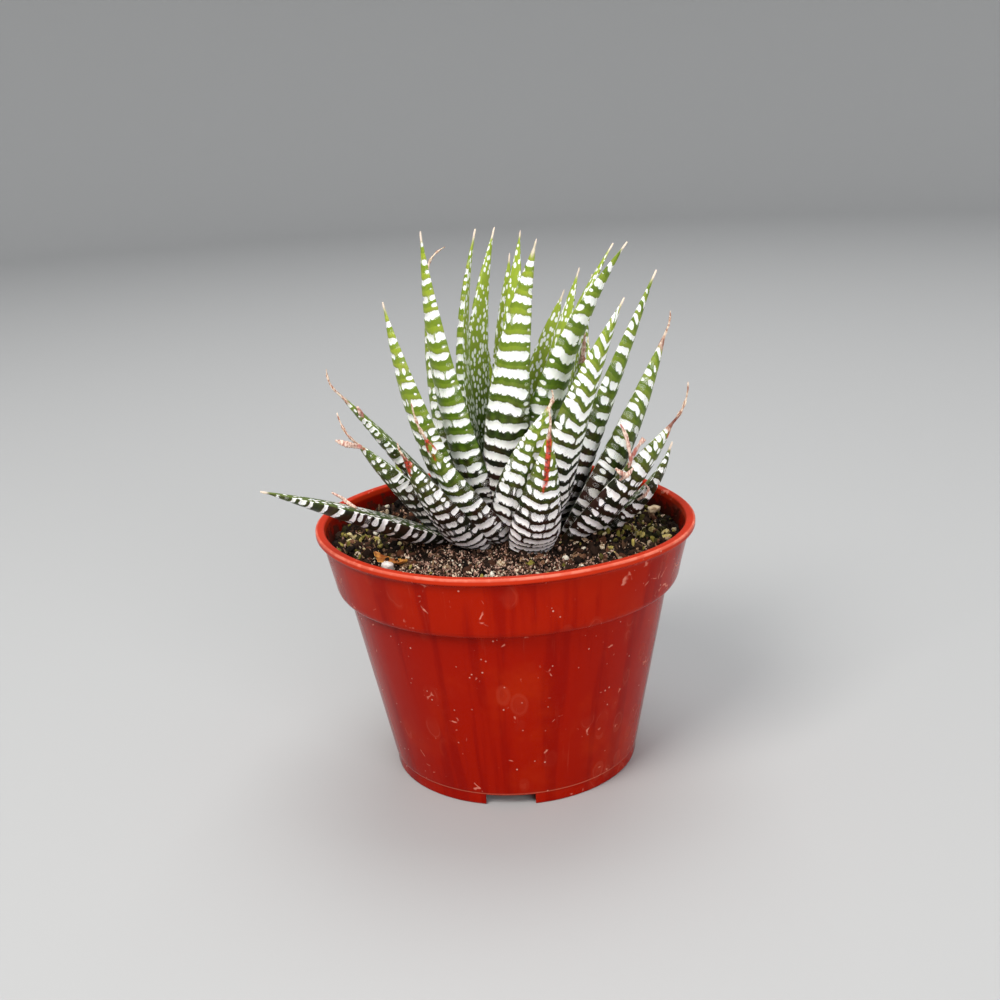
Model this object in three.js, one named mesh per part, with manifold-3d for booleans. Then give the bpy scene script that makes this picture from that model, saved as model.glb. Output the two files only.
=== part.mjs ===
// A zebra haworthia in a round plastic nursery pot.
//
// Millimetres, +Z up. The origin is on the surface that the pot stands on, in the middle of all that
// the plant and the pot reach over, and -Y is the front. Places below are measured from the pot's own
// axis. Every leaf is its own solid, with the raised white bands of its back modelled as ridges. The
// stem and the buried feet of the leaves stand in a plain hole in the potting mix.

import * as THREE from 'three';
import { mergeVertices } from 'three/addons/utils/BufferGeometryUtils.js';
import Module from 'manifold-3d';

const wasm = await Module();
wasm.setup();

// ---- driving dimensions -------------------------------------------------------------------------

const CLEARANCE = 0.3; // between neighbouring solids
const FACET_GAP = 0.25; // more of it between two round walls, whose flats lie inside their radius

const POT = {
  x: 4.2, // its axis, seen from the origin
  height: 69,
  lipRadius: 50, // outside of the flat flange round the mouth
  mouthRadius: 47.7, // inside of that flange
  lipThickness: 1.5,
  bandTopRadius: 48.6, // the deep collar below the flange
  bandFootRadius: 46.3,
  bandDepth: 16.5,
  shoulderRadius: 43.6, // the body where it meets the collar
  footRadius: 33.6,
  footHeight: 3.3, // the floor is raised by this much above the table
  footWidth: 1.8,
  wall: 1.2,
  floor: 1.4,
  segments: 40,
};
const NOTCH = { count: 3, first: 266, width: 13, height: 3 }; // in the foot ring; azimuth in degrees
const DRAIN = { radius: 4, pitchRadius: 23, sides: 12 }; // a hole in the floor behind each notch

// The thin mouth is not quite round: waves of its radius, as [lobes, share of radius, phase in degrees].
const MOUTH_WAVES = [
  [3, 0.02, 80],
  [4, 0.015, -16],
];

const SOIL = {
  level: 63.2, // at the wall
  mound: 3.4, // higher at the plant
  moundRadius: 32,
  lumps: 0.5,
  rings: 7,
  segments: 36,
  step: 1.5, // height of the filling's step where the pot's collar begins
  wellRadius: 24.6, // the plant's hole, which narrows downwards from this height
  wellHeight: 68,
  stemGap: 1,
};

const ROSETTE = { x: 4, y: 5 }; // the stem's axis
const STEM = { bottom: 40, top: 68.5, radius: 5, footRadius: 2.6, sides: 10 };
const ROOT = { count: 5, start: 43, reach: 19, drop: 26, radius: 1.2, tipRadius: 0.6, sides: 5, steps: 4 };

const LEAF = {
  thick: 0.7, // share of the half width from the edges to the keel
  thickAtBase: 0.7, // share of that where the leaf leaves the potting mix
  full: 2.2, // the higher, the further up the leaf it stays broad
  leastDepth: 1.2, // the half width that this share is taken of, at the least
  ridge: 0.55, // how far a white band stands out of the leaf's back
  baseWidth: 0.82, // share of the full width where the leaf leaves the potting mix
  shoulder: 0.22, // share of the length where the full width and thickness are reached
  tipHalfWidth: 0.45,
  bristleHalfWidth: 0.35,
  bandStart: 4, // first band, from the base
  bandPitch: [3.4, 4.6], // at the base, and from the middle on
  bandEnd: 0.92, // share of the length
  chevron: 0.35, // how far a band's middle hangs towards the base, as a share of the half width
  footSlope: 1.1, // the fall of the buried part of each leaf towards the stem
  footHalfWidth: 1.6, // where it joins the stem
};
// Where the rings of a leaf drawn without bands go.
const PLAIN_STATIONS = [0.06, 0.11, 0.17, 0.23, 0.4, 0.6, 0.75, 0.86, 0.94];

// Loose pieces on the potting mix: where the middle of each is, its length, breadth and height, and
// the azimuth that its length points along.
const PEBBLE = { x: -30.2, y: -24, size: [3.6, 2.8, 2.4], turn: -37 };
const BARK = { x: 41, y: 9, size: [4.8, 2.8, 1.8], turn: 50 };
const SCRAP = { x: -29.8, y: -19.5, size: [11.6, 4, 0.8], turn: -37, curl: 1.6 };
const SETTLE_STEPS = 8; // steps in which a loose piece is let down onto the mix

// Each leaf, outermost first: where its base stands about the rosette's axis (azimuth and radius)
// and how high, where its tip is, its full width, how far it bulges outwards and sideways from a
// straight line, the azimuth its back faces if not its base's own, how full and how thick it is if
// not as full and thick as most, and its withered bristle, as an offset past the tip.
const LEAVES = [
  // resting on the potting mix
  { at: 208, out: 22.5, up: 65.5, tip: [-58, -32, 88], width: 12, bow: [-1, 0], thick: 0.8 },
  {
    at: 232, out: 19.5, up: 64.5, tip: [-24, -30, 95], width: 13.5, bow: [1, 1],
    full: 2.6, dry: [-1, 0, 3],
  },
  { at: 276, out: 21.5, up: 65, tip: [12, -28, 99], width: 14.5, bow: [2, 0], full: 1.6, dry: [0, 0, 5] },
  {
    at: 314, out: 20, up: 66, tip: [43, -22, 98], width: 13, bow: [0, 0], face: 318,
    full: 2.8, thick: 0.85, dry: [3, -2, 10],
  },
  { at: 345, out: 20, up: 64.5, tip: [44, -8, 88], width: 12, bow: [3, 0] },
  { at: 22, out: 20, up: 64.5, tip: [36, 24, 82], width: 11.5, bow: [2, 0] },
  { at: 60, out: 20, up: 64.5, tip: [26, 42, 90], width: 12, bow: [3, 0] },
  { at: 95, out: 20, up: 64.5, tip: [2, 48, 92], width: 12, bow: [3, 0] },
  { at: 130, out: 20, up: 64.5, tip: [-16, 34, 94], width: 12, bow: [3, 0] },
  { at: 165, out: 20, up: 64.5, tip: [-30, 16, 84], width: 11.5, bow: [2, 0] },
  // the second whorl
  {
    at: 208, out: 17.5, up: 65, tip: [-36, -20, 96], width: 14.5, bow: [-1, 0],
    full: 2.8, thick: 0.8, dry: [-4, 0, 8],
  },
  { at: 186, out: 15, up: 66, tip: [-41, -10, 107], width: 12, bow: [-1, 0], dry: [-2, 0, 6] },
  { at: 250, out: 15.5, up: 65, tip: [-19, -26, 99], width: 13, bow: [2, 1], face: 238, dry: [-2, -1, 8] },
  { at: 269, out: 13.5, up: 65, tip: [13, -21, 104], width: 16, bow: [3, -3], full: 1.9, dry: [0, 0, 3] },
  {
    at: 322, out: 15.5, up: 65, tip: [43, -9, 118], width: 14, bow: [1, -2], face: 335,
    full: 2.4, thick: 0.9, dry: [1, 0, 5],
  },
  { at: 354, out: 15.5, up: 65, tip: [38, 8, 97], width: 11, bow: [2, 0], dry: [0, 0, 4] },
  { at: 30, out: 15.5, up: 65.5, tip: [26, 30, 110], width: 10.5, bow: [2, 0] },
  { at: 78, out: 15.5, up: 65.5, tip: [20, 38, 122], width: 12, bow: [2, 4], face: 70 },
  { at: 115, out: 15.5, up: 65.5, tip: [-3, 36, 112], width: 11.5, bow: [2, 0] },
  { at: 148, out: 15.5, up: 65.5, tip: [-14, 28, 110], width: 11.5, bow: [2, 0] },
  // the third whorl
  { at: 214, out: 13, up: 66, tip: [-27, -15, 129], width: 13, bow: [2.5, 0] },
  { at: 300, out: 11.5, up: 66, tip: [31, -21, 128], width: 14.5, bow: [1, -5], face: 308 },
  { at: 330, out: 11, up: 66, tip: [40, -12, 133], width: 12.5, bow: [0, -3] },
  { at: 12, out: 10.5, up: 66, tip: [27, 22, 128], width: 10, bow: [0, 1], face: 20 },
  { at: 50, out: 10.5, up: 66, tip: [24, 30, 129], width: 11, bow: [0, 3] },
  { at: 95, out: 10.5, up: 66, tip: [5, 30, 134], width: 11, bow: [1, 1.5] },
  { at: 132, out: 10.5, up: 66, tip: [1, 22, 142], width: 11, bow: [1, 5] },
  { at: 176, out: 12, up: 66, tip: [-17, 15, 133], width: 12, bow: [3, 0], dry: [5, 0, 6] },
  // the heart
  { at: 215, out: 8.5, up: 67, tip: [-17, -10, 145], width: 13, bow: [2, -1.5] },
  { at: 252, out: 9, up: 67, tip: [11, -12, 142], width: 13.5, bow: [1, -3] },
  { at: 305, out: 6, up: 67, tip: [33, -10, 140], width: 12.5, bow: [-4, -5] },
  { at: 20, out: 5.5, up: 67, tip: [32, 15, 137], width: 10, bow: [-6, 0] },
  { at: 75, out: 5.5, up: 67, tip: [8, 20, 141], width: 10.5, bow: [1, 3] },
  { at: 165, out: 7, up: 67, tip: [-4, 10, 143], width: 10.5, bow: [5, 0] },
  { at: 270, out: 0, up: 69, tip: [5, 4, 120], width: 8, bow: [0, 0] },
];

// ---- helpers ------------------------------------------------------------------------------------

const degrees = THREE.MathUtils.degToRad;
const smooth = THREE.MathUtils.smoothstep;

// A closed geometry as a manifold solid. Only its positions are kept.
function solidOf(geometry) {
  const bare = new THREE.BufferGeometry();
  bare.setAttribute('position', geometry.getAttribute('position'));
  bare.setIndex(geometry.index);
  const merged = mergeVertices(bare, 1e-3);
  return new wasm.Manifold(new wasm.Mesh({
    numProp: 3,
    vertProperties: new Float32Array(merged.getAttribute('position').array),
    triVerts: new Uint32Array(merged.index.array),
  }));
}

// A manifold solid as a three.js geometry.
function geometryOf(solid) {
  const mesh = solid.getMesh();
  const positions = new Float32Array(mesh.numVert * 3);
  for (let i = 0; i < mesh.numVert; i++) {
    for (let k = 0; k < 3; k++) positions[3 * i + k] = mesh.vertProperties[mesh.numProp * i + k];
  }
  const geometry = new THREE.BufferGeometry();
  geometry.setAttribute('position', new THREE.BufferAttribute(positions, 3));
  geometry.setIndex(new THREE.BufferAttribute(new Uint32Array(mesh.triVerts), 1));
  return geometry;
}

// The largest body of a solid that a cut has left in several.
function largestBody(solid) {
  return solid.decompose().sort((a, b) => b.volume() - a.volume())[0];
}

// A tube of rings with a point at each end, rings running anticlockwise seen from ahead.
function ringsGeometry(rings, start, end) {
  const sides = rings[0].length;
  const points = [start, ...rings.flat(), end];
  const index = [];
  const at = (ring, side) => 1 + ring * sides + (side % sides);
  for (let s = 0; s < sides; s++) {
    index.push(0, at(0, s + 1), at(0, s));
    index.push(points.length - 1, at(rings.length - 1, s), at(rings.length - 1, s + 1));
    for (let r = 0; r + 1 < rings.length; r++) {
      index.push(at(r, s), at(r, s + 1), at(r + 1, s));
      index.push(at(r + 1, s), at(r, s + 1), at(r + 1, s + 1));
    }
  }
  const geometry = new THREE.BufferGeometry().setFromPoints(points);
  geometry.setIndex(index);
  return geometry;
}

// Moves a point with the waves of the pot's mouth, which fade out down the collar.
function warpMouth(point) {
  const share = smooth(point.z, POT.height - POT.bandDepth, POT.height);
  const angle = Math.atan2(point.y, point.x);
  let scale = 1;
  for (const [lobes, size, phase] of MOUTH_WAVES) {
    scale += share * size * Math.cos(lobes * (angle - degrees(phase)));
  }
  point.x *= scale;
  point.y *= scale;
  return point;
}

function warpGeometry(geometry) {
  const position = geometry.getAttribute('position');
  const point = new THREE.Vector3();
  for (let i = 0; i < position.count; i++) {
    warpMouth(point.fromBufferAttribute(position, i));
    position.setXYZ(i, point.x, point.y, point.z);
  }
  return geometry;
}

// ---- pot ----------------------------------------------------------------------------------------

// The inside radius of the pot's wall at a height.
function insideRadius(z) {
  const collar = POT.height - POT.bandDepth;
  if (z > collar) {
    const share = (z - collar) / (POT.bandDepth - POT.lipThickness);
    return THREE.MathUtils.lerp(POT.bandFootRadius, POT.bandTopRadius, Math.min(1, share)) - POT.wall;
  }
  const share = (z - POT.footHeight) / (collar - POT.footHeight);
  return THREE.MathUtils.lerp(POT.footRadius, POT.shoulderRadius, share) - POT.wall;
}

function potGeometry() {
  const collar = POT.height - POT.bandDepth;
  const flange = POT.height - POT.lipThickness;
  const top = POT.footHeight + POT.floor;
  const profile = [
    [0, POT.footHeight],
    [POT.footRadius - POT.footWidth, POT.footHeight],
    [POT.footRadius - POT.footWidth, 0],
    [POT.footRadius, 0],
    [POT.footRadius + 0.1, POT.footHeight],
    [POT.footRadius + 0.5, POT.footHeight + 0.3],
    [POT.shoulderRadius, collar],
    [POT.bandFootRadius - 0.6, collar],
    [POT.bandFootRadius, collar + 0.8],
    [POT.bandTopRadius, flange - 0.5],
    [POT.lipRadius, flange],
    [POT.lipRadius, POT.height],
    [POT.mouthRadius, POT.height],
    [insideRadius(flange), flange - 1],
    [insideRadius(collar + POT.wall), collar + POT.wall],
    [insideRadius(collar), collar - 0.2],
    [insideRadius(top), top],
    [0, top],
  ].map(([r, z]) => new THREE.Vector2(r, z));
  const shell = warpGeometry(new THREE.LatheGeometry(profile, POT.segments).rotateX(Math.PI / 2));
  const drain = new THREE.CylinderGeometry(DRAIN.radius, DRAIN.radius, 4 * POT.floor, DRAIN.sides);
  drain.rotateX(Math.PI / 2).translate(0, 0, POT.footHeight);
  let solid = solidOf(shell).subtract(solidOf(drain));
  for (let i = 0; i < NOTCH.count; i++) {
    const turn = degrees(NOTCH.first + 360 * i / NOTCH.count);
    const notch = new THREE.BoxGeometry(4 * POT.footWidth, NOTCH.width, 2 * NOTCH.height);
    notch.translate(POT.footRadius, 0, 0).rotateZ(turn);
    const outer = drain.clone().translate(DRAIN.pitchRadius, 0, 0).rotateZ(turn);
    solid = solid.subtract(solidOf(notch)).subtract(solidOf(outer));
  }
  return geometryOf(solid);
}

// ---- potting mix --------------------------------------------------------------------------------

// Height of the potting mix at a point: a mound round the plant, with lumps.
function soilHeight(x, y) {
  const fromPlant = Math.hypot(x - ROSETTE.x, y - ROSETTE.y);
  const mound = SOIL.mound * (1 - smooth(fromPlant, 8, SOIL.moundRadius));
  const lumps = Math.sin(0.42 * x + 0.9) * Math.cos(0.37 * y - 0.4)
    + 0.6 * Math.sin(0.81 * x - 0.55 * y) + 0.4 * Math.cos(1.3 * y + 0.7 * x + 1.1);
  return SOIL.level + mound + SOIL.lumps * lumps;
}

// The filling of the pot without the plant's hole. `lift` raises its surface.
function soilSolid(lift = 0) {
  const bottom = POT.footHeight + POT.floor + CLEARANCE;
  const collar = POT.height - POT.bandDepth;
  const gap = CLEARANCE + FACET_GAP;
  const ring = (radius, height) => {
    const points = [];
    for (let s = 0; s < SOIL.segments; s++) {
      const angle = 2 * Math.PI * s / SOIL.segments;
      const point = new THREE.Vector3(radius * Math.cos(angle), radius * Math.sin(angle), 0);
      point.z = height ?? soilHeight(point.x, point.y) + lift;
      points.push(warpMouth(point));
    }
    return points;
  };
  const rings = [ring(insideRadius(bottom) - gap, bottom)];
  rings.push(ring(insideRadius(collar) - gap, collar + SOIL.step));
  rings.push(ring(insideRadius(collar + SOIL.step) - gap, collar + 2 * SOIL.step));
  const brim = insideRadius(SOIL.level - 1) - gap;
  for (let r = 0; r < SOIL.rings; r++) rings.push(ring(brim * (1 - r / SOIL.rings)));
  const middle = new THREE.Vector3(0, 0, soilHeight(0, 0) + lift);
  return solidOf(ringsGeometry(rings, new THREE.Vector3(0, 0, bottom), middle));
}

// The plain hole that the plant stands in: a funnel along the buried feet of the outermost leaves.
function wellSolid() {
  const waist = STEM.radius + SOIL.stemGap;
  const profile = [
    [0, STEM.bottom - CLEARANCE],
    [STEM.footRadius + CLEARANCE, STEM.bottom - CLEARANCE],
    [waist, SOIL.wellHeight - LEAF.footSlope * (SOIL.wellRadius - waist)],
    [SOIL.wellRadius, SOIL.wellHeight],
    [SOIL.wellRadius, SOIL.wellHeight + SOIL.mound],
    [0, SOIL.wellHeight + SOIL.mound],
  ].map(([r, z]) => new THREE.Vector2(r, z));
  const funnel = new THREE.LatheGeometry(profile, SOIL.segments).rotateX(Math.PI / 2);
  return solidOf(funnel.translate(ROSETTE.x, ROSETTE.y, 0));
}

// ---- leaves -------------------------------------------------------------------------------------

// The leaf's full width as a share, along its length.
function outline(u, full) {
  return THREE.MathUtils.lerp(LEAF.baseWidth, 1, smooth(u, 0, LEAF.shoulder)) * (1 - u ** full);
}

// The middle line of a leaf, as three curves end to end: its foot in the potting mix, its body, and
// the withered bristle past its tip. `across` is the way its width runs.
function spineOf(leaf) {
  const level = (azimuth) => new THREE.Vector3(Math.cos(degrees(azimuth)), Math.sin(degrees(azimuth)), 0);
  const facing = level(leaf.face ?? leaf.at);
  const across = new THREE.Vector3(-facing.y, facing.x, 0);
  const axis = new THREE.Vector3(ROSETTE.x, ROSETTE.y, leaf.up);
  const base = axis.clone().addScaledVector(level(leaf.at), leaf.out);
  const tip = new THREE.Vector3(...leaf.tip);
  const chord = tip.clone().sub(base).normalize();
  const sideways = across.clone().addScaledVector(chord, -across.dot(chord)).normalize();
  const outwards = sideways.clone().cross(chord);
  const [bulge, sway] = leaf.bow;
  const middle = base.clone().add(tip).multiplyScalar(0.5);
  middle.addScaledVector(outwards, 2 * bulge).addScaledVector(sideways, 2 * sway);
  const body = new THREE.QuadraticBezierCurve3(base, middle, tip);

  const buried = Math.max(0, leaf.out - STEM.radius);
  const joint = axis.clone().addScaledVector(level(leaf.at), Math.min(leaf.out, STEM.radius) - 0.5);
  joint.z -= 1 + LEAF.footSlope * buried;
  const below = base.clone().addScaledVector(body.getTangent(0), -0.3 * buried);
  const foot = new THREE.QuadraticBezierCurve3(joint, below, base);
  if (!leaf.dry) return { foot, body, across };

  const withered = new THREE.Vector3(...leaf.dry);
  const bend = tip.clone().addScaledVector(body.getTangent(1), 0.5 * withered.length());
  const bristle = new THREE.QuadraticBezierCurve3(tip, bend, tip.clone().add(withered));
  return { foot, body, bristle, across };
}

// One cross-section: flat above, and from edge to edge over the keel below. x runs across the leaf,
// y towards its back, and `down` towards its base. `thick` is the depth of the keel as a share of the
// half width, and `grow` makes the section larger all round.
function section(halfWidth, thick, raise, hang, grow) {
  const depth = thick * Math.max(halfWidth, LEAF.leastDepth);
  const back = raise + grow;
  const edge = 0.35 * raise - 0.5 * grow;
  return [
    { x: -halfWidth - grow, y: edge, down: 0 },
    { x: -0.55 * halfWidth - grow, y: 0.74 * depth + back, down: 0.5 * hang },
    { x: 0, y: depth + back, down: hang },
    { x: 0.55 * halfWidth + grow, y: 0.74 * depth + back, down: 0.5 * hang },
    { x: halfWidth + grow, y: edge, down: 0 },
  ];
}

// Where the rings of a leaf's body go: low ones between the bands, and a raised one on each.
function bandRings(length) {
  const rings = [];
  let s = LEAF.bandStart;
  while (s < LEAF.bandEnd * length) {
    const pitch = THREE.MathUtils.lerp(...LEAF.bandPitch, Math.min(1, 2 * s / length));
    rings.push({ u: (s - pitch / 2) / length, raised: false }, { u: s / length, raised: true });
    s += pitch;
  }
  return rings;
}

// `grow` makes a plain leaf without bands that is larger all round.
function leafGeometry(leaf, grow = 0) {
  const { foot, body, bristle, across } = spineOf(leaf);
  const rings = [];
  const { full = LEAF.full, thick = LEAF.thick } = leaf;
  const thickness = (curve, u) => {
    if (curve === foot) return thick * LEAF.thickAtBase;
    if (curve === bristle) return thick;
    return thick * THREE.MathUtils.lerp(LEAF.thickAtBase, 1, smooth(u, 0, LEAF.shoulder));
  };
  const addRing = (curve, u, halfWidth, raise = 0, hang = 0) => {
    const centre = curve.getPointAt(u);
    const tangent = curve.getTangentAt(u);
    const side = across.clone().addScaledVector(tangent, -across.dot(tangent)).normalize();
    const back = side.clone().cross(tangent);
    rings.push(section(halfWidth, thickness(curve, u), raise, hang, grow).map(({ x, y, down }) => (
      centre.clone().addScaledVector(side, x).addScaledVector(back, y).addScaledVector(tangent, -down)
    )));
  };
  const bodyHalfWidth = (u) => Math.max(LEAF.tipHalfWidth, 0.5 * leaf.width * outline(u, full));
  for (const u of [0.02, 0.5, 0.9]) {
    addRing(foot, u, THREE.MathUtils.lerp(LEAF.footHalfWidth, bodyHalfWidth(0), u));
  }
  const stations = grow > 0 ? PLAIN_STATIONS.map((u) => ({ u })) : bandRings(body.getLength());
  for (const { u, raised } of stations) {
    const halfWidth = bodyHalfWidth(u);
    const hang = grow > 0 ? 0 : LEAF.chevron * halfWidth * smooth(u, 0.1, 0.5);
    addRing(body, u, halfWidth, raised ? LEAF.ridge : 0, hang);
  }
  addRing(body, 0.985, LEAF.tipHalfWidth);
  if (bristle) {
    for (const u of [0.3, 0.6, 0.95]) addRing(bristle, u, LEAF.bristleHalfWidth);
  }
  const last = bristle ?? body;
  const start = foot.getPointAt(0).addScaledVector(foot.getTangentAt(0), -grow);
  return ringsGeometry(rings, start, last.getPointAt(1).addScaledVector(last.getTangentAt(1), grow));
}

// ---- stem with its roots -------------------------------------------------------------------------

// `grow` makes it larger all round.
function stemSolid(grow = 0) {
  const profile = [
    [0, STEM.bottom - grow],
    [STEM.footRadius + grow, STEM.bottom - grow],
    [STEM.radius + grow, STEM.bottom + 6],
    [STEM.radius + grow, STEM.top - 3],
    [0.4 * STEM.radius + grow, STEM.top + grow],
    [0, STEM.top + grow],
  ].map(([r, z]) => new THREE.Vector2(r, z));
  const trunk = new THREE.LatheGeometry(profile, STEM.sides).rotateX(Math.PI / 2);
  let solid = solidOf(trunk.translate(ROSETTE.x, ROSETTE.y, 0));
  for (let i = 0; i < ROOT.count; i++) {
    const turn = 2 * Math.PI * (i + 0.3) / ROOT.count;
    const outwards = new THREE.Vector3(Math.cos(turn), Math.sin(turn), 0);
    const start = new THREE.Vector3(ROSETTE.x, ROSETTE.y, ROOT.start);
    const bend = start.clone().addScaledVector(outwards, 0.8 * ROOT.reach);
    bend.z -= 0.3 * ROOT.drop;
    const end = start.clone().addScaledVector(outwards, ROOT.reach);
    end.z -= ROOT.drop;
    const curve = new THREE.QuadraticBezierCurve3(start, bend, end);
    const across = new THREE.Vector3(-Math.sin(turn), Math.cos(turn), 0);
    const rings = [];
    for (let k = 0; k <= ROOT.steps; k++) {
      const radius = THREE.MathUtils.lerp(ROOT.radius, ROOT.tipRadius, k / ROOT.steps) + grow;
      const up = curve.getTangent(k / ROOT.steps).cross(across);
      const ring = [];
      for (let s = 0; s < ROOT.sides; s++) {
        const angle = 2 * Math.PI * s / ROOT.sides;
        const point = curve.getPoint(k / ROOT.steps).addScaledVector(across, radius * Math.cos(angle));
        ring.push(point.addScaledVector(up, radius * Math.sin(angle)));
      }
      rings.push(ring);
    }
    const cap = end.clone().addScaledVector(curve.getTangent(1), ROOT.tipRadius + grow);
    solid = solid.add(solidOf(ringsGeometry(rings, start, cap)));
  }
  return solid;
}

// ---- loose pieces on the potting mix ------------------------------------------------------------

// Turns a piece about its middle and lets it down until it lies just clear of the filling.
function layDown(geometry, { x, y, turn }, filling) {
  const above = SOIL.level + SOIL.mound;
  let piece = solidOf(geometry.rotateZ(degrees(turn)).translate(x, y, above));
  for (let i = 0; i < SETTLE_STEPS; i++) {
    piece = piece.translate(0, 0, CLEARANCE - piece.minGap(filling, above));
  }
  return geometryOf(piece);
}

function pebbleGeometry(filling) {
  const [length, breadth, height] = PEBBLE.size;
  const ball = new THREE.IcosahedronGeometry(0.5, 1);
  return layDown(ball.scale(length, breadth, height), PEBBLE, filling);
}

// A split wedge of bark, thicker along one side.
function barkGeometry(filling) {
  const [length, breadth, height] = BARK.size;
  const end = new THREE.Shape([
    new THREE.Vector2(-0.5 * breadth, 0),
    new THREE.Vector2(0.5 * breadth, 0),
    new THREE.Vector2(0.4 * breadth, height),
    new THREE.Vector2(-0.3 * breadth, 0.6 * height),
  ]);
  const wedge = new THREE.ExtrudeGeometry(end, { depth: length, bevelEnabled: false });
  wedge.translate(0, 0, -0.5 * length).rotateX(Math.PI / 2).rotateZ(Math.PI / 2);
  return layDown(wedge, BARK, filling);
}

// A withered piece of leaf: a thin strip that narrows to both ends and curls up at them.
function scrapGeometry(filling) {
  const [length, breadth, thickness] = SCRAP.size;
  const rings = [-0.46, -0.25, 0, 0.25, 0.46].map((t) => {
    const halfWidth = 0.5 * breadth * Math.cos(2.6 * t);
    const rise = 4 * SCRAP.curl * t * t;
    return [[-1, 0], [0, -0.5 * thickness], [1, 0], [0, 0.5 * thickness]].map(([side, up]) => (
      new THREE.Vector3(length * t, side * halfWidth, rise + up + 0.3 * Math.abs(side))
    ));
  });
  const end = (t) => new THREE.Vector3(length * t, 0, 4 * SCRAP.curl * t * t);
  return layDown(ringsGeometry(rings, end(-0.5), end(0.5)), SCRAP, filling);
}

// ---- assembly -----------------------------------------------------------------------------------

const potPlastic = new THREE.MeshStandardMaterial({ name: 'pot_plastic', color: 0xb8260f, roughness: 0.32 });
const pottingMix = new THREE.MeshStandardMaterial({ name: 'potting_mix', color: 0x33261f, roughness: 0.95 });
const leafSkin = new THREE.MeshStandardMaterial({ name: 'leaf_skin', color: 0x5c7f2a, roughness: 0.45 });
const stemFibre = new THREE.MeshStandardMaterial({ name: 'stem_fibre', color: 0xb7a684, roughness: 0.85 });
const paleStone = new THREE.MeshStandardMaterial({ name: 'pale_stone', color: 0xcfc4bd, roughness: 0.8 });
const tanBark = new THREE.MeshStandardMaterial({ name: 'tan_bark', color: 0xb08d62, roughness: 0.9 });
const dryLeaf = new THREE.MeshStandardMaterial({ name: 'dry_leaf', color: 0xb5651f, roughness: 0.6 });

const plant = new THREE.Group();
plant.name = 'potted_haworthia';

function addNode(name, geometry, material) {
  const mesh = new THREE.Mesh(geometry, material);
  mesh.name = name;
  plant.add(mesh);
}

// The leaves are made from the heart outwards. Each is trimmed clear of the stem, of the potting mix
// and of the leaves inside it, as its base clasps them on the living plant.
const filling = soilSolid().subtract(wellSolid()).subtract(stemSolid(CLEARANCE));
let taken = stemSolid(CLEARANCE).add(soilSolid(CLEARANCE).subtract(wellSolid()));
for (let i = LEAVES.length; i > 0; i--) {
  const leaf = solidOf(leafGeometry(LEAVES[i - 1]));
  addNode(`leaf_${String(i).padStart(2, '0')}`, geometryOf(largestBody(leaf.subtract(taken))), leafSkin);
  taken = taken.add(solidOf(leafGeometry(LEAVES[i - 1], CLEARANCE + LEAF.ridge)));
}
addNode('stem', geometryOf(stemSolid()), stemFibre);
addNode('potting_mix', geometryOf(filling), pottingMix);
addNode('pot', potGeometry(), potPlastic);
addNode('pebble', pebbleGeometry(filling), paleStone);
addNode('bark_chip', barkGeometry(filling), tanBark);
addNode('leaf_scrap', scrapGeometry(filling), dryLeaf);

plant.position.x = POT.x;

export default plant;
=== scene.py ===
"""A zebra haworthia in a plastic nursery pot, dressed over its frame from model.glb. Sizes are in
mm.
"""

import math

import bpy
import numpy as np
from bpy.props import FloatProperty, FloatVectorProperty, IntProperty, PointerProperty
from mathutils import Matrix, Vector


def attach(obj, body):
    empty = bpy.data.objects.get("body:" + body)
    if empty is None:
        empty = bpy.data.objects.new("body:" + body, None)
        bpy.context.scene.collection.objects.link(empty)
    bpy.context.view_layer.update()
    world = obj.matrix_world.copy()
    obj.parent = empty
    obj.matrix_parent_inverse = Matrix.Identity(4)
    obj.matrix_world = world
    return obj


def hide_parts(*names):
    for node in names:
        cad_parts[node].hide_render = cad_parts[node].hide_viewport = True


bl_info = {
    "name": "Potted Haworthia",
    "version": (1, 0, 0),
    "blender": (4, 5, 0),
    "location": "3D View > Sidebar > Haworthia",
    "description": "Dresses a zebra haworthia and its nursery pot",
    "category": "Object",
}

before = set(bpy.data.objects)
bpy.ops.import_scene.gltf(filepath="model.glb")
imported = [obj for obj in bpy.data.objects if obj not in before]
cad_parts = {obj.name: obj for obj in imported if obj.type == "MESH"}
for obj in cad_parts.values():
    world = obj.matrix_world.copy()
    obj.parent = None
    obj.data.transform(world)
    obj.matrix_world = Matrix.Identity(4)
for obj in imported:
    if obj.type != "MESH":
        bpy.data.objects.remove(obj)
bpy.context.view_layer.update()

MM = 0.001
POT_AXIS = 4.2  # the pot's axis along X, from the origin
ROSETTE = np.array([4.0, 5.0])  # the stem's axis, from the pot's own
STEM_RADIUS = 5.0
POT_HEIGHT = 69.0
COLLAR_FOOT = 52.5
MOUTH_WAVES = ((3, 0.02, 80.0), (4, 0.015, -16.0))  # lobes, share of the radius, phase
SOIL_LEVEL = 63.2
SOIL_BRIM = 46.4
FOOT_SLOPE = 1.1

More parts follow.
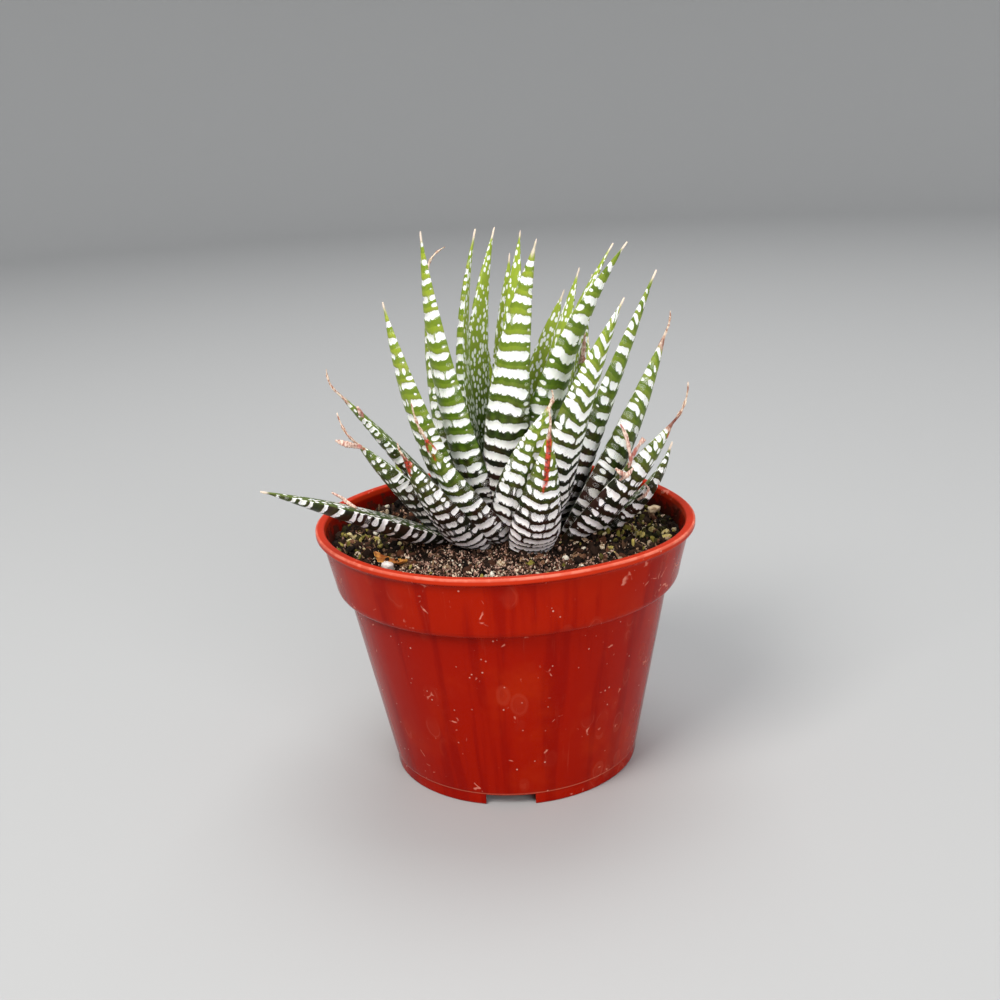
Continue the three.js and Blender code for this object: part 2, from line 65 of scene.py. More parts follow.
# For each leaf: the azimuth and radius `at` and `out` where it leaves the rosette's axis, and how
# high, its tip, its full width and its bulge outwards and sideways. Where it isn't as usual:
#   face    the azimuth that its back looks to
#   full    how far up it stays broad
#   thick   the depth of its keel as a share of its half width
#   dry     its withered bristle, from the tip
#   wither  the share of its length from which it dries
#   red     the stretch that turned red, and the half width of the strip where it isn't all round
#   rows    the spacing of its bands, at the base and from the middle on
#   white   how much of that is white
#   gaps    how often a band breaks
#   hang    how far a band sags at the keel
#   split   1 where the bands are two columns that alternate
#   dark    the share of its length up to which the skin is near black
#   tone    how deep its green is above that
LEAVES = (
    dict(at=208, out=22.5, up=65.5, tip=(-58, -32, 88), width=12, bow=(-1, 0), thick=0.8,
         rows=(3.4, 4.1), white=(0.33, 0.33), gaps=(0.03, 0.25), dark=1.15, tone=1.0),
    dict(at=232, out=19.5, up=64.5, tip=(-24, -30, 95), width=13.5, bow=(1, 1), full=2.6,
         dry=(-1, 0, 3), rows=(2.5, 3.1), white=(0.66, 0.6), gaps=(0.3, 0.7), split=1, dark=0.95,
         tone=1.0, red=(0.86, 0.96, 1.5)),
    dict(at=276, out=21.5, up=65, tip=(12, -28, 99), width=14.5, bow=(2, 0), full=1.6,
         dry=(0, 0, 5), rows=(2.0, 2.9), white=(0.78, 0.6), gaps=(0.03, 0.5), hang=0.9, dark=0.75,
         tone=0.5, red=(0.58, 0.95, 0.8), wither=0.94),
    dict(at=314, out=20, up=66, tip=(43, -22, 98), width=13, bow=(0, 0), face=318, full=2.8,
         thick=0.85, dry=(3, -2, 10), rows=(2.9, 3.3), white=(0.58, 0.54), gaps=(0.15, 0.6),
         hang=1.3, dark=0.85, tone=0.5, wither=0.93, red=(0.89, 1.1)),
    dict(at=345, out=20, up=64.5, tip=(44, -8, 88), width=12, bow=(3, 0),
         rows=(3.2, 3.6), white=(0.5, 0.45), gaps=(0.1, 0.3), hang=1.0, dark=1.1, tone=0.9),
    dict(at=22, out=20, up=64.5, tip=(36, 24, 82), width=11.5, bow=(2, 0), dark=0.5),
    dict(at=60, out=20, up=64.5, tip=(26, 42, 90), width=12, bow=(3, 0), hang=1.2, dark=0.45),
    dict(at=95, out=20, up=64.5, tip=(2, 48, 92), width=12, bow=(3, 0), split=1, dark=0.4),
    dict(at=130, out=20, up=64.5, tip=(-16, 34, 94), width=12, bow=(3, 0), hang=0.8, dark=0.4),
    dict(at=165, out=20, up=64.5, tip=(-30, 16, 84), width=11.5, bow=(2, 0), dark=0.5),
    dict(at=208, out=17.5, up=65, tip=(-36, -20, 96), width=14.5, bow=(-1, 0), full=2.8, thick=0.8,
         dry=(-4, 0, 8), rows=(2.6, 3.3), white=(0.6, 0.56), gaps=(0.25, 0.75), split=1, dark=0.9,
         tone=0.9, wither=0.95, red=(0.93, 1.0)),
    dict(at=186, out=15, up=66, tip=(-41, -10, 107), width=12, bow=(-1, 0), dry=(-2, 0, 6),
         rows=(2.8, 3.5), white=(0.52, 0.46), gaps=(0.5, 0.75), dark=0.75, tone=0.9,
         wither=0.93),
    dict(at=250, out=15.5, up=65, tip=(-19, -26, 99), width=13, bow=(2, 1), face=238,
         dry=(-2, -1, 8), rows=(2.6, 3.4), white=(0.62, 0.58), gaps=(0.3, 0.6), dark=0.75,
         tone=0.8, red=(0.86, 1.0), wither=0.97),
    dict(at=269, out=13.5, up=65, tip=(13, -21, 104), width=16, bow=(3, -3), full=1.9,
         dry=(0, 0, 3), rows=(2.4, 3.0), white=(0.78, 0.68), gaps=(0.02, 0.35), split=1,
         dark=0.7, tone=0.5, wither=0.95),
    dict(at=322, out=15.5, up=65, tip=(43, -9, 118), width=14, bow=(1, -2), face=335, full=2.4,
         thick=0.9, dry=(1, 0, 5), rows=(3.0, 4.0), white=(0.52, 0.48), gaps=(0.15, 0.5), hang=2.2,
         dark=0.6, tone=0.6, wither=0.92, red=(0.95, 1.3)),
    dict(at=354, out=15.5, up=65, tip=(38, 8, 97), width=11, bow=(2, 0), dry=(0, 0, 4), dark=0.3),
    dict(at=30, out=15.5, up=65.5, tip=(26, 30, 110), width=10.5, bow=(2, 0), hang=0.8),
    dict(at=78, out=15.5, up=65.5, tip=(20, 38, 122), width=12, bow=(2, 4), face=70, hang=1.4),
    dict(at=115, out=15.5, up=65.5, tip=(-3, 36, 112), width=11.5, bow=(2, 0), split=1),
    dict(at=148, out=15.5, up=65.5, tip=(-14, 28, 110), width=11.5, bow=(2, 0), hang=0.6),
    dict(at=214, out=13, up=66, tip=(-27, -15, 129), width=13, bow=(2.5, 0),
         rows=(2.9, 4.2), white=(0.56, 0.5), gaps=(0.1, 0.4), dark=0.45),
    dict(at=300, out=11.5, up=66, tip=(31, -21, 128), width=14.5, bow=(1, -5), face=308,
         rows=(3.0, 3.6), white=(0.58, 0.58), gaps=(0.05, 0.3), hang=2.6, dark=0.6, tone=0.3),
    dict(at=330, out=11, up=66, tip=(40, -12, 133), width=12.5, bow=(0, -3),
         rows=(3.2, 4.2), white=(0.52, 0.5), gaps=(0.05, 0.4), hang=1.6, dark=0.55, tone=0.6),
    dict(at=12, out=10.5, up=66, tip=(27, 22, 128), width=10, bow=(0, 1), face=20, hang=1.0),
    dict(at=50, out=10.5, up=66, tip=(24, 30, 129), width=11, bow=(0, 3), hang=0.7),
    dict(at=95, out=10.5, up=66, tip=(5, 30, 134), width=11, bow=(1, 1.5), hang=1.1),
    dict(at=132, out=10.5, up=66, tip=(1, 22, 142), width=11, bow=(1, 5), hang=0.5),
    dict(at=176, out=12, up=66, tip=(-17, 15, 133), width=12, bow=(3, 0), dry=(5, 0, 6),
         rows=(3.0, 4.4), gaps=(0.1, 0.5), wither=0.93),
    dict(at=215, out=8.5, up=67, tip=(-17, -10, 145), width=13, bow=(2, -1.5),
         rows=(3.0, 4.7), white=(0.58, 0.48), gaps=(0.03, 0.3), hang=0.4, dark=0.32),
    dict(at=252, out=9, up=67, tip=(11, -12, 142), width=13.5, bow=(1, -3),
         rows=(2.9, 4.7), white=(0.56, 0.52), gaps=(0.0, 0.12), dark=0.5, tone=0.25),
    dict(at=305, out=6, up=67, tip=(33, -10, 140), width=12.5, bow=(-4, -5),
         rows=(3.6, 5.0), white=(0.48, 0.5), gaps=(0.0, 0.12), hang=0.6, dark=0.35, tone=0.7),
    dict(at=20, out=5.5, up=67, tip=(32, 15, 137), width=10, bow=(-6, 0), rows=(3.4, 4.6)),
    dict(at=75, out=5.5, up=67, tip=(8, 20, 141), width=10.5, bow=(1, 3), rows=(3.4, 4.6)),
    dict(at=165, out=7, up=67, tip=(-4, 10, 143), width=10.5, bow=(5, 0), rows=(3.4, 4.6)),
    dict(at=270, out=0, up=69, tip=(5, 4, 120), width=8, bow=(0, 0), rows=(3.0, 4.0)),
)


# ---- sizes and colours a user would change --------------------------------------------------


class PotSettings(bpy.types.PropertyGroup):
    """Sizes and colours of the pot."""

    lip_radius: FloatProperty(
        name="Lip Radius", description="Outside of the flat lip", default=50.0 * MM,
        unit="LENGTH", subtype="DISTANCE")
    segments: IntProperty(
        name="Segments", description="Faces round the pot", default=216, min=48)
    body: FloatVectorProperty(
        name="Body", description="Plastic below the collar", size=3, subtype="COLOR",
        default=(0.29, 0.006, 0.0005))
    collar: FloatVectorProperty(
        name="Collar", description="Plastic of the collar", size=3, subtype="COLOR",
        default=(0.32, 0.009, 0.0008))
    # The lip's colour is painted light: lighter and more orange than the body, as the lip's top
    # catches the light.
    lip: FloatVectorProperty(
        name="Lip", description="Worn edge of the lip", size=3, subtype="COLOR",
        default=(0.50, 0.028, 0.006))


class MixSettings(bpy.types.PropertyGroup):
    """Amounts and colours of the potting mix."""

    crumbs: FloatProperty(
        name="Crumbs", description="Crumbs of peat to a square centimetre", default=24.0)
    grains: FloatProperty(
        name="Grains", description="Small grains of peat to a square centimetre", default=90.0)
    grit: FloatProperty(
        name="Grit", description="Grains of grit to a square centimetre where it is heaped",
        default=430.0)
    perlite: FloatProperty(
        name="Perlite", description="Grains of perlite to a square centimetre", default=2.6)
    seed: IntProperty(name="Seed", description="Scatter of all loose grains", default=4)
    # The peat's own dark colour, made near black so that it also stands as painted shade in the
    # gaps between the loose grains.
    peat: FloatVectorProperty(
        name="Peat", description="Colour of the wet peat", size=3, subtype="COLOR",
        default=(0.008, 0.005, 0.0035))


class LeafSettings(bpy.types.PropertyGroup):
    """Relief and colours of the leaves."""

    relief: FloatProperty(
        name="Relief", description="How far the white bands stand out", default=0.36 * MM,
        unit="LENGTH", subtype="DISTANCE")
    lobe: FloatProperty(
        name="Lobe", description="Breadth of one lobe of a band", default=1.9 * MM,
        unit="LENGTH", subtype="DISTANCE")
    green: FloatVectorProperty(
        name="Green", description="Skin in the middle of a leaf", size=3, subtype="COLOR",
        default=(0.10, 0.18, 0.009))
    tip: FloatVectorProperty(
        name="Tip", description="Skin towards the tip", size=3, subtype="COLOR",
        default=(0.38, 0.46, 0.038))
    band: FloatVectorProperty(
        name="Band", description="White of the bands", size=3, subtype="COLOR",
        default=(0.93, 0.94, 0.91))


class StageSettings(bpy.types.PropertyGroup):
    """Floor and light."""

    floor: FloatVectorProperty(
        name="Floor", description="Colour of the floor", size=3, subtype="COLOR",
        default=(0.43, 0.43, 0.425))
    key: FloatProperty(
        name="Key", description="Power of the large soft light", default=14.5, unit="POWER")


SETTINGS = {
    "haworthia_pot": PotSettings,
    "haworthia_mix": MixSettings,
    "haworthia_leaf": LeafSettings,
    "haworthia_stage": StageSettings,
}


# ---- node expressions -----------------------------------------------------------------------


class Wire:
    """A node's output that can stand in a Python expression."""

    def __init__(self, graph, socket):
        self.graph = graph
        self.socket = socket

    def __add__(self, other):
        return self.graph.math("ADD", self, other)

    def __sub__(self, other):
        return self.graph.math("SUBTRACT", self, other)

    def __rsub__(self, other):
        return self.graph.math("SUBTRACT", other, self)

    def __mul__(self, other):
        return self.graph.math("MULTIPLY", self, other)

    def __truediv__(self, other):
        return self.graph.math("DIVIDE", self, other)

    __radd__ = __add__
    __rmul__ = __mul__


class Graph:
    """Builds a shader or geometry tree from expressions."""

    def __init__(self, tree):
        self.tree = tree

    def node(self, kind, settings=None, values=None, output=0):
        """Adds a node: its settings first, then its sockets by name or place. Gives one output."""
        node = self.tree.nodes.new(kind)
        for name, value in (settings or {}).items():
            if name == "stops":
                self._stops(node.color_ramp, value)
            else:
                setattr(node, name, value)
        for place, value in (values or {}).items():
            socket = node.inputs[place]
            if isinstance(value, Wire):
                self.tree.links.new(value.socket, socket)
            elif hasattr(value, "__len__") and socket.type == "RGBA" and len(value) == 3:
                socket.default_value = (*value, 1.0)
            else:
                socket.default_value = value
        return Wire(self, node.outputs[output]) if node.outputs else node

    @staticmethod
    def _stops(ramp, stops):
        while len(ramp.elements) < len(stops):
            ramp.elements.new(0.5)
        for element, (place, colour) in zip(ramp.elements, stops):
            element.position = place
            element.color = (*colour, 1.0)

    def math(self, operation, a, b=0.0):
        return self.node("ShaderNodeMath", {"operation": operation}, {0: a, 1: b})

    def vector(self, operation, a, b):
        """Vector maths. SCALE takes its number as `b`."""
        values = {0: a, 3 if operation == "SCALE" else 1: b}
        return self.node("ShaderNodeVectorMath", {"operation": operation}, values, "Vector")

    def xyz(self, x=0.0, y=0.0, z=0.0):
        return self.node("ShaderNodeCombineXYZ", None, {0: x, 1: y, 2: z})

    def step(self, value, start, end, low=0.0, high=1.0):
        """Goes smoothly from `low` at `start` to `high` at `end`."""
        return self.node(
            "ShaderNodeMapRange", {"interpolation_type": "SMOOTHSTEP"},
            {0: value, 1: start, 2: end, 3: low, 4: high})

    def mix(self, share, a, b):
        """Colour `a` turning into `b`. Either may be three numbers."""
        return self.node("ShaderNodeMix", {"data_type": "RGBA"}, {0: share, 6: a, 7: b}, 2)

    def mix_number(self, share, a, b):
        return self.node("ShaderNodeMix", {"data_type": "FLOAT"}, {0: share, 2: a, 3: b})

    def noise(self, vector, scale, detail=2.0, roughness=0.5, output=0):
        return self.node("ShaderNodeTexNoise", None, {
            "Vector": vector, "Scale": scale, "Detail": detail, "Roughness": roughness}, output)

    def cells(self, vector, scale, feature="F1", randomness=1.0):
        """The distance to the middle, or the edge, of the cell that a point is in."""
        return self.node("ShaderNodeTexVoronoi", {"feature": feature}, {
            "Vector": vector, "Scale": scale, "Randomness": randomness}, "Distance")

    def chance(self, number):
        """A random number from 0 to 1 for each whole number."""
        return self.node("ShaderNodeTexWhiteNoise", {"noise_dimensions": "1D"}, {"W": number})

    def largest(self, a, b):
        return self.math("MAXIMUM", a, b)

    def least(self, a, b):
        return self.math("MINIMUM", a, b)

    def parts(self, vector):
        """The three parts of a vector."""
        split = self.tree.nodes.new("ShaderNodeSeparateXYZ")
        self.tree.links.new(vector.socket, split.inputs[0])
        return [Wire(self, socket) for socket in split.outputs]


class Surface(Graph):
    """A material in the making."""

    def __init__(self, name):
        self.material = bpy.data.materials.new(name)
        self.material.use_nodes = True
        super().__init__(self.material.node_tree)
        self.tree.nodes.clear()
        self.place = self.node("ShaderNodeTexCoord", None, None, "Object")
        self.relief = None

    def attribute(self, name):
        return self.node("ShaderNodeAttribute", {"attribute_name": name}, None, "Fac")

    def bump(self, height, depth, strength=1.0):
        """Adds relief, `depth` mm deep where `height` goes from 0 to 1."""
        values = {"Height": height, "Distance": depth * MM, "Strength": strength}
        if self.relief:
            values["Normal"] = self.relief
        self.relief = self.node("ShaderNodeBump", None, values)

    def finish(self, **values):
        """The material, from the values or links of its shader's sockets."""
        if self.relief:
            values["Normal"] = self.relief
        values = {name.replace("_", " "): value for name, value in values.items()}
        shader = self.node("ShaderNodeBsdfPrincipled", None, values)
        self.node("ShaderNodeOutputMaterial", None, {"Surface": shader})
        return self.material


class Growth(Graph):
    """A geometry tree in the making, with named inputs."""

    def __init__(self, name, inputs):
        tree = bpy.data.node_groups.new(name, "GeometryNodeTree")
        super().__init__(tree)
        tree.interface.new_socket("Geometry", in_out="INPUT", socket_type="NodeSocketGeometry")
        self.identifiers = {}
        for label, kind in inputs.items():
            socket = tree.interface.new_socket(label, in_out="INPUT", socket_type=kind)
            self.identifiers[label] = socket.identifier
        tree.interface.new_socket("Geometry", in_out="OUTPUT", socket_type="NodeSocketGeometry")
        source = tree.nodes.new("NodeGroupInput")
        self.inputs = {s.name: Wire(self, s) for s in source.outputs if s.name}

    def attribute(self, name):
        return self.node(
            "GeometryNodeInputNamedAttribute", {"data_type": "FLOAT"}, {"Name": name}, "Attribute")

    def finish(self, geometry, material):
        real = self.node("GeometryNodeRealizeInstances", None, {"Geometry": geometry})
        painted = self.node(
            "GeometryNodeSetMaterial", None, {"Geometry": real, "Material": material})
        self.node("NodeGroupOutput", None, {"Geometry": painted})


def grow(obj, growth, **values):
    """Runs a geometry tree on an object and keeps the plain mesh that it makes."""
    modifier = obj.modifiers.new(growth.tree.name, "NODES")
    modifier.node_group = growth.tree
    for label, value in values.items():
        modifier[growth.identifiers[label.replace("_", " ")]] = value
    settle(obj)


def settle(obj):
    """Turns an object's modifiers into its mesh."""
    evaluated = obj.evaluated_get(bpy.context.evaluated_depsgraph_get())
    mesh = bpy.data.meshes.new_from_object(evaluated)
    obj.modifiers.clear()
    obj.data = mesh


# ---- mesh helpers ---------------------------------------------------------------------------


def smoothstep(x, start, end):
    t = np.clip((np.asarray(x, float) - start) / (end - start), 0.0, 1.0)
    return t * t * (3.0 - 2.0 * t)


def piece(name, points, faces, material=None, attributes=None):
    """An object from points in mm about the pot's axis. Its place is in its mesh."""
    mesh = bpy.data.meshes.new(name)
    points = np.asarray(points, float).reshape(-1, 3) + (POT_AXIS, 0.0, 0.0)
    mesh.from_pydata((points * MM).tolist(), [], faces)
    mesh.polygons.foreach_set("use_smooth", [True] * len(mesh.polygons))
    for label, values in (attributes or {}).items():
        layer = mesh.attributes.new(label, "FLOAT", "POINT")
        layer.data.foreach_set("value", np.asarray(values, np.float32).ravel())
    if material:
        mesh.materials.append(material)
    mesh.update()
    obj = bpy.data.objects.new(name, mesh)
    bpy.context.scene.collection.objects.link(obj)
    return obj


def round_turn(count):
    """Angles evenly round a circle."""
    return np.linspace(0.0, 2.0 * math.pi, count, endpoint=False)


def circle(radius, angles, height):
    """Points at a radius round the pot's axis."""
    return np.stack([
        radius * np.cos(angles), radius * np.sin(angles), np.full(len(angles), height)], 1)


def grid_faces(rings, sides):
    """Quads of a grid of rings. They face outwards where rings run anticlockwise from ahead."""
    faces = []
    for r in range(rings - 1):
        for s in range(sides):
            t = (s + 1) % sides
            faces.append((r * sides + s, r * sides + t, (r + 1) * sides + t, (r + 1) * sides + s))
    return faces


def tube_faces(rings, sides):
    """The same with a point at each end: the start's is next to last, and the end's last."""
    start = rings * sides
    faces = grid_faces(rings, sides)
    for s in range(sides):
        t = (s + 1) % sides
        faces.append((start, t, s))
        faces.append((start + 1, (rings - 1) * sides + s, (rings - 1) * sides + t))
    return faces


def joined(meshes):
    """One mesh out of several pairs of points and faces."""
    points, faces = [], []
    for some_points, some_faces in meshes:
        faces += [tuple(i + len(points) for i in face) for face in some_faces]
        points += [tuple(p) for p in some_points]
    return points, faces


def unit(v):
    return v / np.linalg.norm(v)


def level(azimuth):
    """The level direction of an azimuth in degrees."""
    return np.array([math.cos(math.radians(azimuth)), math.sin(math.radians(azimuth)), 0.0])


def dress(obj, slot, *nodes):
    """Makes a piece ride on the frame, and stand for its nodes."""
    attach(obj, "root")
    if nodes:
        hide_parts(*nodes)


def warp_mouth(points):
    """Moves points with the waves of the pot's mouth, which fade out down the collar."""
    share = smoothstep(points[:, 2], COLLAR_FOOT, POT_HEIGHT)
    angle = np.arctan2(points[:, 1], points[:, 0])
    scale = np.ones(len(points))
    for lobes, size, phase in MOUTH_WAVES:
        scale += share * size * np.cos(lobes * (angle - math.radians(phase)))
    points[:, :2] *= scale[:, None]
    return points


# ---- pot ------------------------------------------------------------------------------------

# Outline of the pot's wall from the middle of its underside, over the lip, to the middle of its
# floor, as (radius, height, rounding of the corner). Radii follow the lip's.
POT_OUTLINE = (
    (0.0, 3.3, 0), (31.8, 3.3, 0.5), (31.8, 0.0, 0.3), (33.6, 0.0, 0.5), (33.75, 3.2, 0.25),
    (34.05, 3.6, 0.25), (43.6, 52.5, 0.5), (45.8, 52.4, 0.6), (46.4, 53.6, 0.6), (48.5, 66.7, 0.7),
    (50.0, 67.4, 0.35), (50.0, 69.0, 0.45), (47.7, 69.0, 0.45), (47.2, 66.6, 0.6),
    (45.25, 53.7, 0.5), (42.4, 52.3, 0.5), (32.7, 4.7, 0.6), (0.0, 4.7, 0),
)
LIP_POINT = 10  # the outline's widest point
NOTCHES = (266.0, 26.0, 146.0)  # azimuths of the notches in the foot, and of the drains
NOTCH_WIDTH, NOTCH_HEIGHT = 13.0, 3.0
NOTCH_CUT = (29.0, 37.0)  # radii that a notch's cutter spans
DRAIN_RADIUS, DRAIN_PITCH = 4.0, 23.0
DRAIN_CUT = (1.0, 7.0)  # heights that a drain's cutter spans
DRAIN_SIDES = 32
BOX_FACES = ((0, 1, 3, 2), (4, 6, 7, 5), (0, 4, 5, 1), (2, 3, 7, 6), (0, 2, 6, 4), (1, 5, 7, 3))
CORNER_STEPS, LONGEST_RUN = 4, 1.6
SEAM_HEIGHT = 3.4

# The middle of the wall: its radius where its height is nought, and how that grows with height.
BODY_WALL = (32.58, 0.1995)
COLLAR_WALL = (37.49, 0.155)

# Three of these colours are painted light: the dark stripes of a painted reflection, the painted
# shade inside the pot, and the painted highlight on the lip's edge.
PLASTIC = dict(
    reflection_stripe=(0.21, 0.002, 0.0005), cloud=(0.50, 0.040, 0.004), inside=(0.16, 0.003, 0.001),
    soil=(0.030, 0.016, 0.010), water=(0.75, 0.25, 0.14), scuff=(0.85, 0.34, 0.24),
    dust=(0.80, 0.50, 0.40), rim=(0.90, 0.30, 0.20), seam=(0.80, 0.22, 0.12))


def rounded(outline):
    """The outline with arcs at its corners and no long run."""
    points = [np.array(outline[0][:2])]
    for before, corner, after in zip(outline, outline[1:], outline[2:]):
        p = np.array(corner[:2])
        a = np.array(before[:2]) - p
        b = np.array(after[:2]) - p
        reach = min(corner[2], 0.45 * np.linalg.norm(a), 0.45 * np.linalg.norm(b))
        start = p + a / np.linalg.norm(a) * reach
        end = p + b / np.linalg.norm(b) * reach
        for t in np.linspace(0.0, 1.0, CORNER_STEPS):
            points.append((1 - t) ** 2 * start + 2 * t * (1 - t) * p + t * t * end)
    points.append(np.array(outline[-1][:2]))
    fine = [points[0]]
    for a, b in zip(points, points[1:]):
        count = max(1, math.ceil(np.linalg.norm(b - a) / LONGEST_RUN))
        fine += [a + (b - a) * k / count for k in range(1, count + 1)]
    return np.array(fine)


def pot_plastic(settings):
    s = Surface("Pot plastic")
    x, y, z = s.parts(s.place)
    x, y, height = x / MM - POT_AXIS, y / MM, z / MM
    angle = s.math("ARCTAN2", y, x)
    around = s.xyz(s.math("COSINE", angle), s.math("SINE", angle), height / 500.0)
    stripes = s.noise(around, 5.0, 2.0, 0.55)
    fine_stripes = s.noise(around, 26.0, 3.0, 0.65)
    cloud = s.noise(s.place, 42.0, 4.0, 0.6)

    in_collar = s.step(height, COLLAR_FOOT - 0.6, COLLAR_FOOT + 0.2)
    on_lip = s.step(height, POT_HEIGHT - 1.9, POT_HEIGHT - 1.1)
    colour = s.mix(in_collar, tuple(settings.body), tuple(settings.collar))
    # painted reflection: soft dark vertical stripes round the pot, as of the surroundings mirrored
    # in the gloss
    deep = s.step(stripes + (fine_stripes - 0.5) * 0.25, 0.47, 0.58)
    colour = s.mix(deep * 0.6, colour, PLASTIC["reflection_stripe"])
    colour = s.mix(s.step(cloud, 0.5, 0.75) * 0.25, colour, PLASTIC["cloud"])
    # painted light: the top of the lip is made lighter than the body
    colour = s.mix(on_lip * 0.85, colour, tuple(settings.lip))

    # the inside, by the middle of the wall: darker as painted shade, and stained where the potting
    # mix lay
    scale, share = 1.0, s.step(height, COLLAR_FOOT, POT_HEIGHT)
    for lobes, size, phase in MOUTH_WAVES:
        wave = s.math("COSINE", (angle - math.radians(phase)) * lobes)
        scale = share * wave * size + scale
    radius = s.math("SQRT", x * x + y * y) / scale
    body, collar = (foot + height * growth for foot, growth in (BODY_WALL, COLLAR_WALL))
    middle = s.mix_number(in_collar, body, collar)
    inside = s.math("LESS_THAN", radius, middle) * s.step(height, 4.0, 4.5) * (1.0 - on_lip)
    # painted shade: the inside of the pot is darkened, as the recess falls in shade
    colour = s.mix(inside * 0.5, colour, PLASTIC["inside"])
    stain = s.noise(s.place, 260.0, 4.0, 0.7)
    soiled = inside * s.step(stain + s.step(height, 70.0, 62.0) * 0.22, 0.56, 0.66)
    colour = s.mix(soiled * 0.75, colour, PLASTIC["soil"])

    # dried water: faint tears and runs, mostly on the body
    drops = s.cells(s.xyz(x, y, height * 0.6), 0.16)
    bent = drops + (s.noise(s.place, 300.0, 2.0) - 0.5) * 0.12
    ring = s.step(bent, 0.24, 0.33) * s.step(bent, 0.40, 0.35)
    film = s.step(bent, 0.33, 0.30) * 0.35
    patch = s.step(s.noise(s.place, 48.0, 2.0), 0.50, 0.62)
    runs = s.step(fine_stripes, 0.60, 0.74) * s.step(s.noise(s.place, 30.0, 2.0), 0.45, 0.62)
    marks = s.largest((ring * 0.4 + film) * patch, runs * 0.6) * (1.0 - inside)
    colour = s.mix(marks * 0.07, colour, PLASTIC["water"])

    # scuffs, thickest on the collar, and specks of dust
    sway = s.vector("SCALE", s.noise(s.place, 220.0, output="Color"), 0.004)
    scratches = s.cells(s.vector("ADD", s.place, sway), 150.0, "DISTANCE_TO_EDGE")
    scuffed = s.step(s.noise(s.place, 130.0, 3.0, 0.7), 0.60 - in_collar * 0.03, 0.66)
    scratches = s.step(scratches, 0.035, 0.015) * scuffed * (1.0 - inside)
    dusty = s.step(s.noise(s.place, 160.0, 1.0), 0.54, 0.64)
    dust = s.step(s.cells(s.place, 420.0), 0.12, 0.07) * dusty
    colour = s.mix(scratches * 0.45, colour, PLASTIC["scuff"])
    colour = s.mix(dust * 0.5, colour, PLASTIC["dust"])
    # painted highlight: a pale line along the outer edge of the lip's top, broken up by noise
    rim = s.step(radius, 49.3, 49.7) * s.step(height, POT_HEIGHT - 0.75, POT_HEIGHT - 0.35)
    rim_highlight = rim * (0.55 + 0.45 * s.step(s.noise(s.place, 300.0, 3.0), 0.45, 0.6))
    colour = s.mix(rim_highlight * 0.5, colour, PLASTIC["rim"])
    seam = s.step(s.math("ABSOLUTE", height - SEAM_HEIGHT), 0.30, 0.12) * (1.0 - inside)
    colour = s.mix(seam * 0.35, colour, PLASTIC["seam"])

    roughness = 0.14 + cloud * 0.08 + marks * 0.22 + scratches * 0.2 + dust * 0.4
    roughness = roughness + on_lip * 0.12 + soiled * 0.5 + inside * 0.12
    s.bump(stripes, 0.35, 0.5)
    s.bump(s.noise(s.place, 700.0, 2.0), 0.02, 0.2)
    s.bump(scratches, -0.03, 0.5)
    s.bump(dust, 0.08, 0.5)
    return s.finish(Base_Color=colour, Roughness=roughness, IOR=1.42, Specular_IOR_Level=0.07)


def make_pot(settings):
    outline = rounded(POT_OUTLINE)
    outline[:, 0] *= settings.lip_radius / MM / POT_OUTLINE[LIP_POINT][0]
    turns = round_turn(settings.segments)
    rings = [circle(radius, turns, height) for radius, height in outline[1:-1]]
    ends = [(0.0, 0.0, outline[0][1]), (0.0, 0.0, outline[-1][1])]
    points = warp_mouth(np.vstack([*rings, ends]))
    pot = piece("nursery_pot", points, tube_faces(len(rings), len(turns)), pot_plastic(settings))

    cutters = []
    for azimuth in NOTCHES:
        turn = Matrix.Rotation(math.radians(azimuth), 4, "Z")
        box = [(x, y * NOTCH_WIDTH, z)
               for x in NOTCH_CUT for y in (-0.5, 0.5) for z in (-NOTCH_HEIGHT, NOTCH_HEIGHT)]
        cutters.append(([turn @ Vector(p) for p in box], BOX_FACES))
    bottom, top = tuple(range(DRAIN_SIDES)), tuple(range(DRAIN_SIDES, 2 * DRAIN_SIDES))
    for reach, azimuth in ((0.0, 0.0), *((DRAIN_PITCH, azimuth) for azimuth in NOTCHES)):
        shaft = np.vstack([circle(DRAIN_RADIUS, round_turn(DRAIN_SIDES), z) for z in DRAIN_CUT])
        shaft += reach * level(azimuth)
        cutters.append((shaft, grid_faces(2, DRAIN_SIDES) + [bottom[::-1], top]))
    cutter = piece("pot_cutter", *joined(cutters))
    cut = pot.modifiers.new("Notches and drains", "BOOLEAN")
    cut.operation, cut.solver, cut.object = "DIFFERENCE", "EXACT", cutter
    settle(pot)
    bpy.data.objects.remove(cutter)
    dress(pot, "pot_plastic", "pot")


# ---- potting mix ----------------------------------------------------------------------------

# Outline of the bed's sides and underside as (radius, height): it fills the pot's inside.
BED_OUTLINE = ((32.2, 5.0), (41.8, 52.0), (42.2, 54.0), (45.0, 54.9))
BED_SIDES, BED_ROUNDS = 200, 92
SCATTER_SIDES, SCATTER_ROUNDS = 96, 44
MOUND_HEIGHT, MOUND_REACH = 3.4, (8.0, 32.0)  # round the plant


